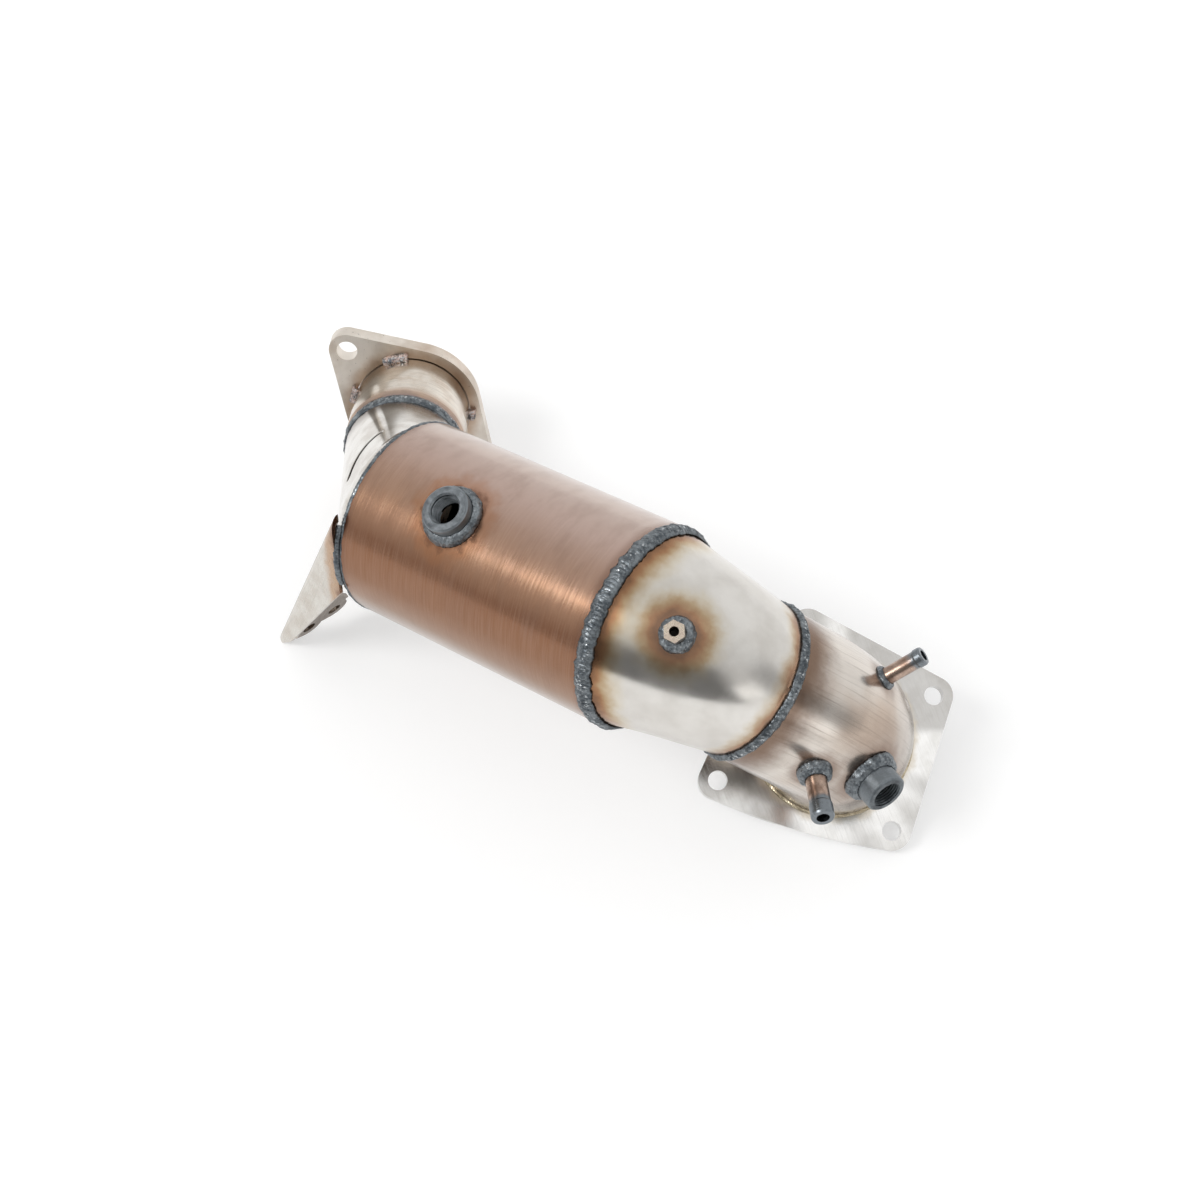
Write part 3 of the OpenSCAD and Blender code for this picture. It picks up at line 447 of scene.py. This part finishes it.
def plate_steel(name, where, base, dull, tint, welded_at, spread, painted_reflection_share, rough=0.14,
                spatter=0.0):
    """Stainless plate, cut and ground flat: satin, with a faint heat tint by its weld."""
    made, tree, shader = material(name, Metallic=1.0)
    there = local(tree, where)
    x, y, _ = parts_of(tree, there)
    # Painted reflections of the flattened plate: fans of light and dark running outwards from its
    # bore
    angle = math_node(tree, "ARCTAN2", y, x)
    reflection_fan = add(tree, "CombineXYZ", {0: math_node(tree, "MULTIPLY", math_node(
        tree, "COSINE", angle), 25.0), 1: math_node(tree, "MULTIPLY", math_node(
            tree, "SINE", angle), 25.0), 2: math_node(tree, "MULTIPLY", reach(tree, x, y), 0.1)})
    painted_reflection_fans = clouds(tree, reflection_fan.outputs[0], 14, 2, 0.45)
    ground = clouds(tree, stretched(tree, there, (1, 0.05, 1)), 0.8, 2)
    steel = mix(tree, level(tree, clouds(tree, there, 26, 3), 0.38, 0.66), base, dull)
    steel = mix(tree, level(tree, painted_reflection_fans, 0.46, 0.62, 0.0, painted_reflection_share), steel, "#8f8b86")
    steel = mix(tree, level(tree, ground, 0.5, 0.75, 0.0, 0.08), steel, "#9a9792")
    off = math_node(tree, "SUBTRACT", reach(tree, x, y), welded_at)
    off = math_node(tree, "ADD", off, math_node(tree, "MULTIPLY", clouds(tree, there, 9, 3), 8.0))
    steel = mix(tree, level(tree, off, spread + 6, 4, 0.0, 0.75), steel, tint)
    drops = level(tree, clouds(tree, there, 1.8, 2), 0.7, 0.74, 0.0, spatter)
    steel = mix(tree, drops, steel, "#4a3b31")
    link(tree, shader, Base_Color=steel, Normal=bump(tree, ground, 0.003),
         Roughness=level(tree, ground, 0.3, 0.7, rough, rough + 0.06))
    return made


def weld_metal(name, where, dark, pale, glint_share, crowned=False):
    """Cooled weld metal: blue-grey oxide skin, with bright silvery specks on its ripples that are
    painted glints.
    """
    made, tree, shader = material(name, Metallic=0.85)
    there = local(tree, where)
    skin = clouds(tree, there, 5, 5, 0.7)
    fine = clouds(tree, there, 1.7 if crowned else 1.1, 5, 0.6 if crowned else 0.7)
    steel = mix(tree, level(tree, skin, 0.38, 0.62), dark, pale)
    steel = mix(tree, level(tree, fine, 0.46, 0.36, 0.0, 0.5), steel, "#2f3235")
    # Bright silvery specks on the ripples: painted glints, on a crowned bead mostly along its
    # crown
    painted_glints = level(tree, fine, 0.6 - glint_share, 0.68 - glint_share)
    if crowned:
        crown = add(tree, "Attribute", attribute_name="crown").outputs["Fac"]
        painted_glints = math_node(tree, "MULTIPLY", painted_glints, level(tree, crown, 0.35, 0.85, 0.06, 1.0))
        fine = blend(tree, level(tree, crown, 0.3, 0.8), fine, 0.5, swapped=True)
    steel = mix(tree, painted_glints, steel, "#c6cacc")
    link(tree, shader, Base_Color=steel, Roughness=level(tree, fine, 0.35, 0.65, 0.5, 0.26),
         Normal=bump(tree, fine, 0.18 if crowned else 0.3))
    return made


def fine_weld():
    """Fine weld without oxide: straw and silver, closely rippled."""
    made, tree, shader = material("straw_coloured_fine_weld", Metallic=1.0, Roughness=0.25)
    there = local(tree, INLET)
    steel = mix(tree, level(tree, clouds(tree, there, 5, 3), 0.35, 0.65), "#dccfb4", "#b3a68d")
    link(tree, shader, Base_Color=steel, Normal=bump(tree, clouds(tree, there, 0.5, 2), 0.05))
    return made


def burnt_steel(name, where, base, pale, edge):
    """Turned steel boss, oxidised blue-grey by the weld, paler round its rim, near-black down its
    bore as painted shade.
    """
    made, tree, shader = material(name, Metallic=0.9)
    there = local(tree, where)
    x, y, z = parts_of(tree, there)
    turned = clouds(tree, stretched(tree, there, (0.08, 0.08, 1)), 0.6, 2)
    steel = mix(tree, level(tree, clouds(tree, there, 4, 4), 0.35, 0.68), base, pale)
    fine = clouds(tree, there, 0.5, 3, 0.7)
    steel = mix(tree, level(tree, fine, 0.52, 0.68, 0.0, 0.5), steel, "#a3a9ad")
    steel = mix(tree, level(tree, turned, 0.5, 0.35, 0.0, 0.45), steel, "#33373a")
    # Near-black below the pipe's skin: painted shade down the bore
    steel = mix(tree, level(tree, z, -1.0, -4.0, 0.0, 0.9), steel, "#26282a")
    # Paler ring round the rim's outer edge
    pale_rim = level(tree, math_node(tree, "ABSOLUTE", math_node(
        tree, "SUBTRACT", reach(tree, x, y), edge)), 1.4, 0.2, 0.0, 0.4)
    steel = mix(tree, pale_rim, steel, "#9aa1a6")
    link(tree, shader, Base_Color=steel, Roughness=level(tree, fine, 0.3, 0.7, 0.36, 0.52),
         Normal=bump(tree, turned, 0.03))
    return made


def stub_steel(name, where, grey_from):
    """Stainless stub tube, heated to copper near its weld, blue-grey at its end."""
    made, tree, shader = material(name, Metallic=1.0)
    there = local(tree, where)
    z = parts_of(tree, there)[2]
    cloud = clouds(tree, there, 6, 4)
    end = math_node(tree, "ADD", z, math_node(tree, "MULTIPLY", math_node(
        tree, "SUBTRACT", cloud, 0.5), 8.0))
    steel = mix(tree, level(tree, cloud, 0.38, 0.66), "#b8a192", "#8a7264")
    steel = mix(tree, level(tree, end, grey_from - 2, grey_from + 2), steel, "#7d8388")
    flecks = level(tree, clouds(tree, there, 0.8, 3), 0.5, 0.75, 0.0, 0.4)
    steel = mix(tree, flecks, steel, "#4f4a48")
    link(tree, shader, Base_Color=steel, Roughness=level(tree, cloud, 0.3, 0.7, 0.24, 0.4),
         Normal=bump(tree, clouds(tree, stretched(tree, there, (0.1, 0.1, 1)), 0.8, 2), 0.03))
    return made


def tap_steel():
    """Free-cutting stainless, turned and left bright, with a straw tint."""
    made, tree, shader = material("bright_turned_hexagon", Metallic=1.0)
    there = local(tree, CONE_TAP)
    z = parts_of(tree, there)[2]
    fine = clouds(tree, there, 2.5, 2)
    steel = mix(tree, level(tree, fine, 0.35, 0.7), "#c6baaa", "#a6978a")
    steel = mix(tree, level(tree, z, 5, 2), steel, "#7d7064")
    link(tree, shader, Base_Color=steel, Roughness=level(tree, fine, 0.3, 0.7, 0.22, 0.34),
         Normal=bump(tree, fine, 0.02))
    return made


def bracket_steel():
    """Stainless strip, stamped and folded: satin, brown where it is welded to the can."""
    made, tree, shader = material("stamped_stainless_strip", Metallic=1.0)
    there = local(tree, BRACKET)
    z = parts_of(tree, there)[2]
    cloud = clouds(tree, there, 15, 4)
    drawn = clouds(tree, stretched(tree, there, (0.05, 1, 1)), 1.0, 2)
    steel = mix(tree, level(tree, cloud, 0.38, 0.66), "#d6d2cb", "#c9c2b9")
    steel = mix(tree, level(tree, drawn, 0.5, 0.75, 0.0, 0.08), steel, "#8e8a85")
    # Web and eyes below the folded face: darkened as painted shade under it
    steel = mix(tree, level(tree, z, -0.8, -3, 0.0, 0.9), steel, "#6f6155")
    back = parts_of(tree, local(tree, CAN))[2]
    back = math_node(tree, "ADD", math_node(tree, "MULTIPLY", back, -1.0),
                     math_node(tree, "MULTIPLY", math_node(tree, "SUBTRACT", cloud, 0.5), 16.0))
    steel = mix(tree, level(tree, back, 16, 8, 0.0, 0.75), steel, "#b08a66")
    steel = mix(tree, level(tree, back, 7, 2, 0.0, 0.8), steel, "#80604e")
    link(tree, shader, Base_Color=steel, Roughness=level(tree, drawn, 0.3, 0.7, 0.24, 0.34),
         Normal=bump(tree, drawn, 0.01))
    return made


def fibre_mat():
    """Needled mineral fibre: matt felt, darkened grey-brown as painted shade inside the closed
    can.
    """
    made, tree, shader = material("needled_mineral_fibre", Roughness=0.95)
    there = local(tree, CAN)
    felt = clouds(tree, there, 0.8, 4, 0.7)
    link(tree, shader, Base_Color=mix(tree, felt, "#4a443d", "#5c554c"),
         Normal=bump(tree, felt, 0.25))
    return made


def ceramic_core():
    """Extruded ceramic with its washcoat: matt, darkened grey-brown as painted shade inside the
    closed can, streaked along its cells.
    """
    made, tree, shader = material("washcoated_extruded_ceramic", Roughness=0.88)
    there = local(tree, CAN)
    streak = clouds(tree, stretched(tree, there, (1, 1, 0.05)), 0.9, 3)
    link(tree, shader, Base_Color=mix(tree, streak, "#37322d", "#49423a"),
         Normal=bump(tree, clouds(tree, there, 0.4, 3), 0.06))
    return made


# Pieces

def mesh_data(mesh, name):
    """Data block of a bmesh, which is used up."""
    made = bpy.data.meshes.new(name)
    mesh.to_mesh(made)
    mesh.free()
    return made


def finish_piece(data, name, surface, slot_name, *replaced):
    """Puts a mesh in the scene as a smooth piece that rides on the part."""
    for face in data.polygons:
        face.use_smooth = True
    piece = bpy.data.objects.new(name, data)
    bpy.context.scene.collection.objects.link(piece)
    piece.data.materials.append(surface)
    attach(piece, "root")
    if replaced:
        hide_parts(*replaced)
    return piece


def ripple(place_along, across, pitch):
    """Height, 0 to 1, of overlapping weld scales at a place along the bead, in millimetres."""
    wander = noise.noise(Vector((place_along * 0.11, across, 3.0)))
    phase = place_along / pitch + 0.9 * wander - 0.9 * (across - 0.5) ** 2 * 4
    scale = 0.75 + 0.5 * noise.noise(Vector((math.floor(phase) * 1.7, 5.0, 0)))
    return scale * abs(math.sin(math.pi * phase)) ** 0.7


def bead_ring(name, where, first, last, rise, pitch, steps, seed, surface, replaced, wander):
    """Rippled bead round a frame's z, across it from first to last, each a (radius, z)."""
    first, last = Vector(first), Vector(last)
    span = last - first
    out = Vector((span.y, -span.x)).normalized()
    if out.x < 0:
        out = -out
    mesh = bmesh.new()
    profile = []
    for k in range(BEAD_POINTS):
        s = k / (BEAD_POINTS - 1)
        lift = rise * math.sin(math.pi * s) ** 0.8 if 0 < s < 1 else 0
        p = first + span * s + out * lift
        profile.append(mesh.verts.new((p.x, 0, p.y)))
    for s in (0.85, 0.15):
        p = first + span * s + out * BEAD_SUNK
        profile.append(mesh.verts.new((p.x, 0, p.y)))
    edges = [mesh.edges.new((profile[k], profile[(k + 1) % len(profile)]))
             for k in range(len(profile))]
    bmesh.ops.spin(mesh, geom=profile + edges, axis=(0, 0, 1), cent=(0, 0, 0), steps=steps,
                   angle=math.tau, use_merge=True, use_duplicate=False)
    middle = (first.x + last.x) / 2
    crown = mesh.verts.layers.float.new("crown")
    for v in mesh.verts:
        angle = math.atan2(v.co.y, v.co.x)
        flat = Vector((math.hypot(v.co.x, v.co.y), v.co.z))
        s = (flat - first).dot(span) / span.length_squared
        height = (flat - first).dot(out)
        if height < -0.01:
            continue
        along = angle * middle
        ring = Vector((math.cos(angle), math.sin(angle), 0)) * 6
        body = math.sin(math.pi * min(1, max(0, s))) ** 0.5
        v[crown] = body**2
        lumps = noise.noise(ring * 1.6 + Vector((0, s * 2, seed)))
        fine = noise.noise(ring * 14 + Vector((s * 6, 0, seed)))
        lift = rise * body * (0.5 * ripple(along, s, pitch) - 0.3 + 0.4 * lumps + 0.16 * fine)
        edge = (s - 0.5) * 2
        shift = wander * edge * (noise.noise(ring * 2.6 + Vector((edge, 0, seed + 7)))
                                 + 0.5 * noise.noise(ring * 9 + Vector((edge, 4, seed))))
        flat += out * lift + span.normalized() * shift
        v.co = Vector((flat.x * math.cos(angle), flat.x * math.sin(angle), flat.y))
    bmesh.ops.scale(mesh, vec=(MM, MM, MM), verts=mesh.verts)
    bmesh.ops.transform(mesh, matrix=where, verts=mesh.verts)
    bmesh.ops.recalc_face_normals(mesh, faces=mesh.faces)
    return finish_piece(mesh_data(mesh, name), name, surface, "weld", replaced)


def sheet_cone(name, where, outside, inside, surface, replaced, shape=None):
    """Smooth shell bridged over rings (x, z, tilt, radius in the bend's plane, radius across)."""
    mesh = bmesh.new()
    inner_shade = mesh.verts.layers.float.new("inner_shade")
    loops = []
    for x, z, tilt, radius, across in outside + inside[::-1]:
        at = place(x=x, z=z, turn_y=tilt) @ Matrix.Diagonal((radius, across, 1, 1))
        made = bmesh.ops.create_circle(mesh, segments=CONE_SIDES, radius=MM, matrix=at)
        # Inner rings are marked for the painted shade of their inner skin
        for v in made["verts"]:
            v[inner_shade] = float(len(loops) >= len(outside))
        loops.append(list({e for v in made["verts"] for e in v.link_edges}))
    for k, loop in enumerate(loops):
        bmesh.ops.bridge_loops(mesh, edges=loops[k - 1] + loop)
    bmesh.ops.recalc_face_normals(mesh, faces=mesh.faces)
    if shape:
        shape(mesh)
    bmesh.ops.transform(mesh, matrix=where, verts=mesh.verts)
    return finish_piece(mesh_data(mesh, name), name, surface, "satin_cone", replaced)


def front_rings(wall, steps):
    """Rings of the bent cone, from inside the can to the elbow."""
    rings = [(0, CAN_LEN - CONE_LAP, 0, CONE_R)]
    rings += [cone_ring(k / steps) for k in range(steps + 1)]
    rings.append((bend_end[0] + CONE_NECK * math.sin(math.radians(CONE_TURN)),
                  bend_end[1] + CONE_NECK * math.cos(math.radians(CONE_TURN)), CONE_TURN, PIPE_R))
    return [(x, z, tilt, radius - wall, radius - wall) for x, z, tilt, radius in rings]


def rear_ring(share, wall):
    """Ring of the rear cone's straight skin, between its rim and the outlet."""
    turn = math.radians(OUTLET_TURN)
    along = OUTLET_REACH - REAR_STOP
    end = (along * math.sin(turn), OUTLET_CORNER + along * math.cos(turn))
    side_x = RIM_R * (1 - share) + OUTLET_R * share * math.cos(turn)
    side_y = OUTLET_R * share * math.sin(turn)
    return (end[0] * share, RIM_LEN + (end[1] - RIM_LEN) * share,
            math.degrees(math.atan2(side_y, side_x)), math.hypot(side_x, side_y) - wall,
            RIM_R * (1 - share) + OUTLET_R * share - wall)


def rear_rings(wall, steps):
    """Rings of the rear cone, from inside the can over its rolled rim to the outlet weld."""
    turn = math.radians(OUTLET_TURN)
    middle = (CONE_R + RIM_R) / 2 + RIM_BULGE
    rolled = [(0, -REAR_LAP, CONE_R), (0, RIM_STRAIGHT, CONE_R)]
    first, last = Vector((RIM_STRAIGHT, CONE_R)), Vector((RIM_LEN, RIM_R))
    peak = Vector(((RIM_STRAIGHT + RIM_LEN) / 2, middle))
    pull = peak * 2 - (first + last) / 2
    for k in range(1, RIM_STEPS):
        s = k / RIM_STEPS
        at = first * (1 - s) ** 2 + pull * 2 * s * (1 - s) + last * s**2
        rolled.append((0, at.x, at.y))
    rings = [(x, z, 0, radius - wall, radius - wall) for x, z, radius in rolled]
    rings += [rear_ring(k / steps, wall) for k in range(steps + 1)]
    rings.append((OUTLET_REACH * math.sin(turn), OUTLET_CORNER + OUTLET_REACH * math.cos(turn),
                  OUTLET_TURN, OUTLET_R - wall, OUTLET_R - wall))
    return rings


def crease_share(point):
    """How deep a point lies in the rim's crease, 0 to 1, and whether it is near."""
    p = CREASE_INVERSE @ point / MM
    if p.z < 0:
        return 0, False
    turn = math.degrees(math.atan2(p.y, p.x)) % 360
    flare = CREASE_FLARE * math.sin(math.radians(180 - turn))
    width = CREASE_W - flare
    from_middle = abs(math.hypot(p.x, p.y) - (CREASE_BEND_R - width / 2))
    edge = 180 + CREASE_SPAN / 2
    end_width = CREASE_W + CREASE_FLARE * math.sin(math.radians(CREASE_SPAN / 2))
    end_at = Vector((math.cos(math.radians(edge)), math.sin(math.radians(edge))))
    from_end = (p.xy - end_at * (CREASE_BEND_R - end_width / 2)).length / (CREASE_END_W / 2)
    share = 0
    near = from_end < 1.8
    if 180 - CREASE_SPAN / 2 < turn < edge:
        share = max(0, 1 - (from_middle / (width / 2 + 0.5)) ** 4)
        start = (turn - (180 - CREASE_SPAN / 2)) / 5
        share *= min(1, start)
        near = near or from_middle < width / 2 + 1.2
    share = max(share, max(0, 1 - from_end**4))
    return share, near


def press_crease(mesh):
    """Refines the rim round the crease, presses the crease in and marks it for its material."""
    for cuts in (2, 2):
        near = [e for e in mesh.edges if crease_share((e.verts[0].co + e.verts[1].co) / 2)[1]
                and e.verts[0].normal.dot(e.verts[0].co) > 0]
        bmesh.ops.subdivide_edges(mesh, edges=near, cuts=cuts, use_grid_fill=True)
    mesh.normal_update()
    layer = mesh.verts.layers.float.new("crease")
    for v in mesh.verts:
        share, near = crease_share(v.co)
        if near and v.normal.dot(v.co) > 0:
            v[layer] = share
    for v in mesh.verts:
        v.co -= v.normal * v[layer] * CREASE_DEPTH * MM


def lumpy_copy(name, node, where, radius, voxel, swell, pitch, seed, surface):
    """A weld node's own form, remeshed finely, softened and given ripples and lumps."""
    mesh = bmesh.new()
    mesh.from_mesh(NODES[node].data)
    bmesh.ops.remove_doubles(mesh, verts=mesh.verts, dist=0.01 * MM)
    data = mesh_data(mesh, name + "_blank")
    blank = bpy.data.objects.new(name + "_blank", data)
    bpy.context.scene.collection.objects.link(blank)
    remesh = blank.modifiers.new("remesh", "REMESH")
    remesh.mode = "VOXEL"
    remesh.voxel_size = voxel * MM
    bpy.context.view_layer.update()
    made = bpy.data.meshes.new_from_object(blank.evaluated_get(
        bpy.context.evaluated_depsgraph_get()))
    bpy.data.objects.remove(blank)
    bpy.data.meshes.remove(data)
    mesh = bmesh.new()
    mesh.from_mesh(made)
    for _ in range(3):
        bmesh.ops.smooth_vert(mesh, verts=mesh.verts, factor=0.5, use_axis_x=True,
                              use_axis_y=True, use_axis_z=True)
    mesh.normal_update()
    back = where.inverted()
    for v in mesh.verts:
        p = (back @ v.co) / MM
        along = math.atan2(p.y, p.x) * radius
        across = 0.5 + p.z * 0.1
        lumps = noise.noise(p * 0.35 + Vector((seed, 0, 0)))
        lift = swell * (0.5 * ripple(along, across, pitch) - 0.2 + 0.7 * lumps
                        + 0.2 * noise.noise(p * 1.3))
        v.co += v.normal * lift * MM
    mesh.to_mesh(made)
    mesh.free()
    made.name = name
    return finish_piece(made, name, surface, "weld", node)


def screw_thread(name, where, low, high, surface):
    """Helical ridge on the wall of a bung's bore, between these heights."""
    mesh = bmesh.new()
    half = THREAD_PITCH * 0.36
    corners = [(BUNG_BORE_R + 0.08, -half), (BUNG_BORE_R + 0.08, half),
               (BUNG_BORE_R - THREAD_DEPTH, 0.1), (BUNG_BORE_R - THREAD_DEPTH, -0.1)]
    verts = [mesh.verts.new((r * MM, 0, (low + z) * MM)) for r, z in corners]
    edges = [mesh.edges.new((verts[k], verts[(k + 1) % 4])) for k in range(4)]
    turns = (high - low) / THREAD_PITCH
    steps = int(turns * THREAD_STEPS)
    bmesh.ops.spin(mesh, geom=verts + edges, axis=(0, 0, 1), cent=(0, 0, 0), steps=steps,
                   dvec=(0, 0, THREAD_PITCH * turns / steps * MM), angle=math.tau * turns)
    bmesh.ops.holes_fill(mesh, edges=[e for e in mesh.edges if e.is_boundary])
    bmesh.ops.transform(mesh, matrix=where, verts=mesh.verts)
    bmesh.ops.recalc_face_normals(mesh, faces=mesh.faces)
    piece = finish_piece(mesh_data(mesh, name), name, surface, "burnt_boss")
    for face in piece.data.polygons:
        face.use_smooth = False
    return piece


def dress(node, surface):
    """Gives a CAD node its material."""
    data = NODES[node].data
    data.materials.clear()
    data.materials.append(surface)


ring_weld = weld_metal("oxidised_weld_bead", CAN, "#51575c", "#7d8387", 0.03, True)
boss_weld = weld_metal("oxidised_boss_weld", CAN, "#565c61", "#868c90", 0.01)
tack_weld = weld_metal("browned_tack_weld", OUTLET_FLANGE, "#565b61", "#c9b0a5", 0.08)

bead_ring("front_weld_bead", CAN @ place(z=CAN_LEN), (CAN_R, -0.6), (CONE_R + 0.15, FRONT_BEAD),
          1.9, 2.6, 900, 1.0, ring_weld, "front_weld", 0.9)
bead_ring("rear_weld_bead", CAN @ place(turn_x=180), (CAN_R, -0.6), (CONE_R + 0.15, REAR_BEAD),
          1.2, 1.9, 900, 2.0, ring_weld, "rear_weld", 0.35)
bead_ring("elbow_weld_bead", ELBOW, (PIPE_R, -3), (PIPE_R, 3), 1.7, 2.2, 720, 3.0, ring_weld,
          "elbow_weld", 0.6)
bead_ring("outlet_weld_bead", OUTLET, (OUTLET_R, -4.4), (OUTLET_R, 4.2), 1.3, 2.2, 600, 4.0,
          ring_weld, "outlet_weld", 0.6)
bead_ring("inlet_flange_bead", INLET, (PIPE_R + 0.1, -1.9), (PIPE_R + 1.9, -0.1), 1.0, 1.7, 1100,
          5.0, fine_weld(), "inlet_flange_weld", 0.15)

lumpy_copy("can_bung_fillet", "can_bung_weld", CAN_BUNG, BUNG_R + 3, 0.45, 0.7, 3.4, 1, boss_weld)
lumpy_copy("elbow_bung_fillet", "elbow_bung_weld", ELBOW_BUNG, ELBOW_BUNG_R + 3, 0.45, 0.7, 3.2, 2,
           boss_weld)
lumpy_copy("cone_tap_fillet", "cone_tap_weld", CONE_TAP, 8, 0.4, 0.7, 3.0, 3, boss_weld)
lumpy_copy("slim_stub_fillet", "slim_stub_weld", SLIM_STUB, 6, 0.25, 0.3, 1.8, 4, boss_weld)
lumpy_copy("stout_stub_fillet", "stout_stub_weld", STOUT_STUB, 8, 0.35, 0.55, 2.4, 5, boss_weld)
lumpy_copy("outlet_tack_lumps", "outlet_tacks", OUTLET_FLANGE, 37, 0.3, 0.6, 2.0, 6, tack_weld)
lumpy_copy("bracket_weld_lump", "bracket_weld", CAN, CAN_R, 0.3, 0.4, 2.0, 7, ring_weld)

can_bung_steel = burnt_steel("oxidised_can_bung", CAN_BUNG, "#676c70", "#878c90", BUNG_R)
elbow_bung_steel = burnt_steel("oxidised_elbow_bung", ELBOW_BUNG, "#4b5054", "#6e7478",
                               ELBOW_BUNG_R)
screw_thread("can_bung_thread", CAN_BUNG, -1.2, 8.6, can_bung_steel)
screw_thread("elbow_bung_thread", ELBOW_BUNG, 0.5, 14, elbow_bung_steel)

dress("can_shell", tinted_can())
sheet_cone("bent_cone_sheet", CAN, front_rings(0, 60), front_rings(WALL, 30), tinted_cone(),
           "inlet_cone")
dress("inlet_elbow", clouded_pipe())
sheet_cone("rear_cone_sheet", REAR, rear_rings(0, 48), rear_rings(WALL, 24), polished_rear(),
           "rear_cone", press_crease)
dress("outlet_collar", collar_steel())
dress("inlet_flange", plate_steel("ground_stainless_plate", INLET, "#efeeec", "#d9d7d3", "#c9bda9",
                                  46, 3, 0.55))
dress("outlet_flange", plate_steel("ground_plate_with_beige_tint", OUTLET_FLANGE, "#e6ded4",
                                   "#cbbfb1", "#b2957b", 36, 7, 0.15, 0.3, 0.8))
dress("can_bung", can_bung_steel)
dress("elbow_bung", elbow_bung_steel)
dress("cone_tap", tap_steel())
dress("slim_stub", stub_steel("heated_slim_stub", SLIM_STUB, 18))
dress("stout_stub", stub_steel("heated_stout_stub", STOUT_STUB, 19))
dress("hanger_bracket", bracket_steel())
dress("support_mat", fibre_mat())
dress("catalyst_core", ceramic_core())


# Floor, light of the studio, and camera

def white_floor():
    """Matt white sheet that keeps the part's soft shadow."""
    made, tree, shader = material("matt_white_sheet", Roughness=0.9)
    shader.inputs["Base Color"].default_value = colour("#d2d2d2")
    shader.inputs["Specular IOR Level"].default_value = 0.0
    path = add(tree, "LightPath")
    seen = math_node(tree, "MAXIMUM", path.outputs["Is Camera Ray"], math_node(
        tree, "MAXIMUM", path.outputs["Is Glossy Ray"], path.outputs["Is Transmission Ray"]))
    tree.links.new(math_node(tree, "MULTIPLY", seen, 0.41), shader.inputs["Emission Strength"])
    shader.inputs["Emission Color"].default_value = (1, 1, 1, 1)
    return made


mesh = bmesh.new()
bmesh.ops.create_grid(mesh, x_segments=1, y_segments=1, size=4)
floor = bpy.data.objects.new("floor", mesh_data(mesh, "floor"))
bpy.context.scene.collection.objects.link(floor)
floor.data.materials.append(white_floor())


def soft_patch(tree, turn, height, at_turn, at_height, half_turn, half_height, soft):
    """Mask, 0 to 1, of a softbox or dark flag in the studio, in degrees round and up."""
    masks = []
    for value, at, half in ((turn, at_turn, half_turn), (height, at_height, half_height)):
        off = math_node(tree, "ABSOLUTE", math_node(tree, "SUBTRACT", value, float(at)))
        masks.append(level(tree, off, half + soft, half - soft))
    return math_node(tree, "MULTIPLY", *masks)


world = bpy.data.worlds.new("studio")
bpy.context.scene.world = world
world.use_nodes = True
tree = world.node_tree
tree.nodes.clear()
direction = add(tree, "TexCoord").outputs["Generated"]
east, north, up = parts_of(tree, direction)
turn = math_node(tree, "DEGREES", math_node(tree, "ARCTAN2", east, math_node(
    tree, "MULTIPLY", north, -1.0)))
height = math_node(tree, "DEGREES", math_node(tree, "ARCSINE", up))
glow = level(tree, north, -0.3, 1.0, 0.72, 0.95)
glow = blend(tree, soft_patch(tree, turn, height, 25, 12.5, 42, 23, 8), glow, 0.2)
glow = blend(tree, soft_patch(tree, turn, height, 100, 14, 12, 10, 8), glow, 0.4)
glow = blend(tree, soft_patch(tree, turn, height, -34, 50, 16, 10, 4), glow, 10.5)
glow = blend(tree, soft_patch(tree, turn, height, 76, 8, 10, 7, 4), glow, 1.35)
glow = blend(tree, soft_patch(tree, turn, height, 66, 70, 60, 8, 7), glow, 1.15)
shade = add(tree, "Background", {"Color": (1, 1, 1, 1), "Strength": glow})
add(tree, "OutputWorld", {"Surface": shade.outputs[0]})

camera_data = bpy.data.cameras.new("camera")
camera_data.lens = 63
camera_data.sensor_width = 36
camera_data.clip_start = 0.05
camera_data.clip_end = 20
camera = bpy.data.objects.new("camera", camera_data)
camera.location = (0.39242, -0.51162, 1.07831)
camera.rotation_euler = Euler([math.radians(a) for a in (32.4807, 0.1884, 35.9918)], "XYZ")
bpy.context.scene.collection.objects.link(camera)
bpy.context.scene.camera = camera

view = bpy.context.scene.view_settings
view.view_transform = "Standard"
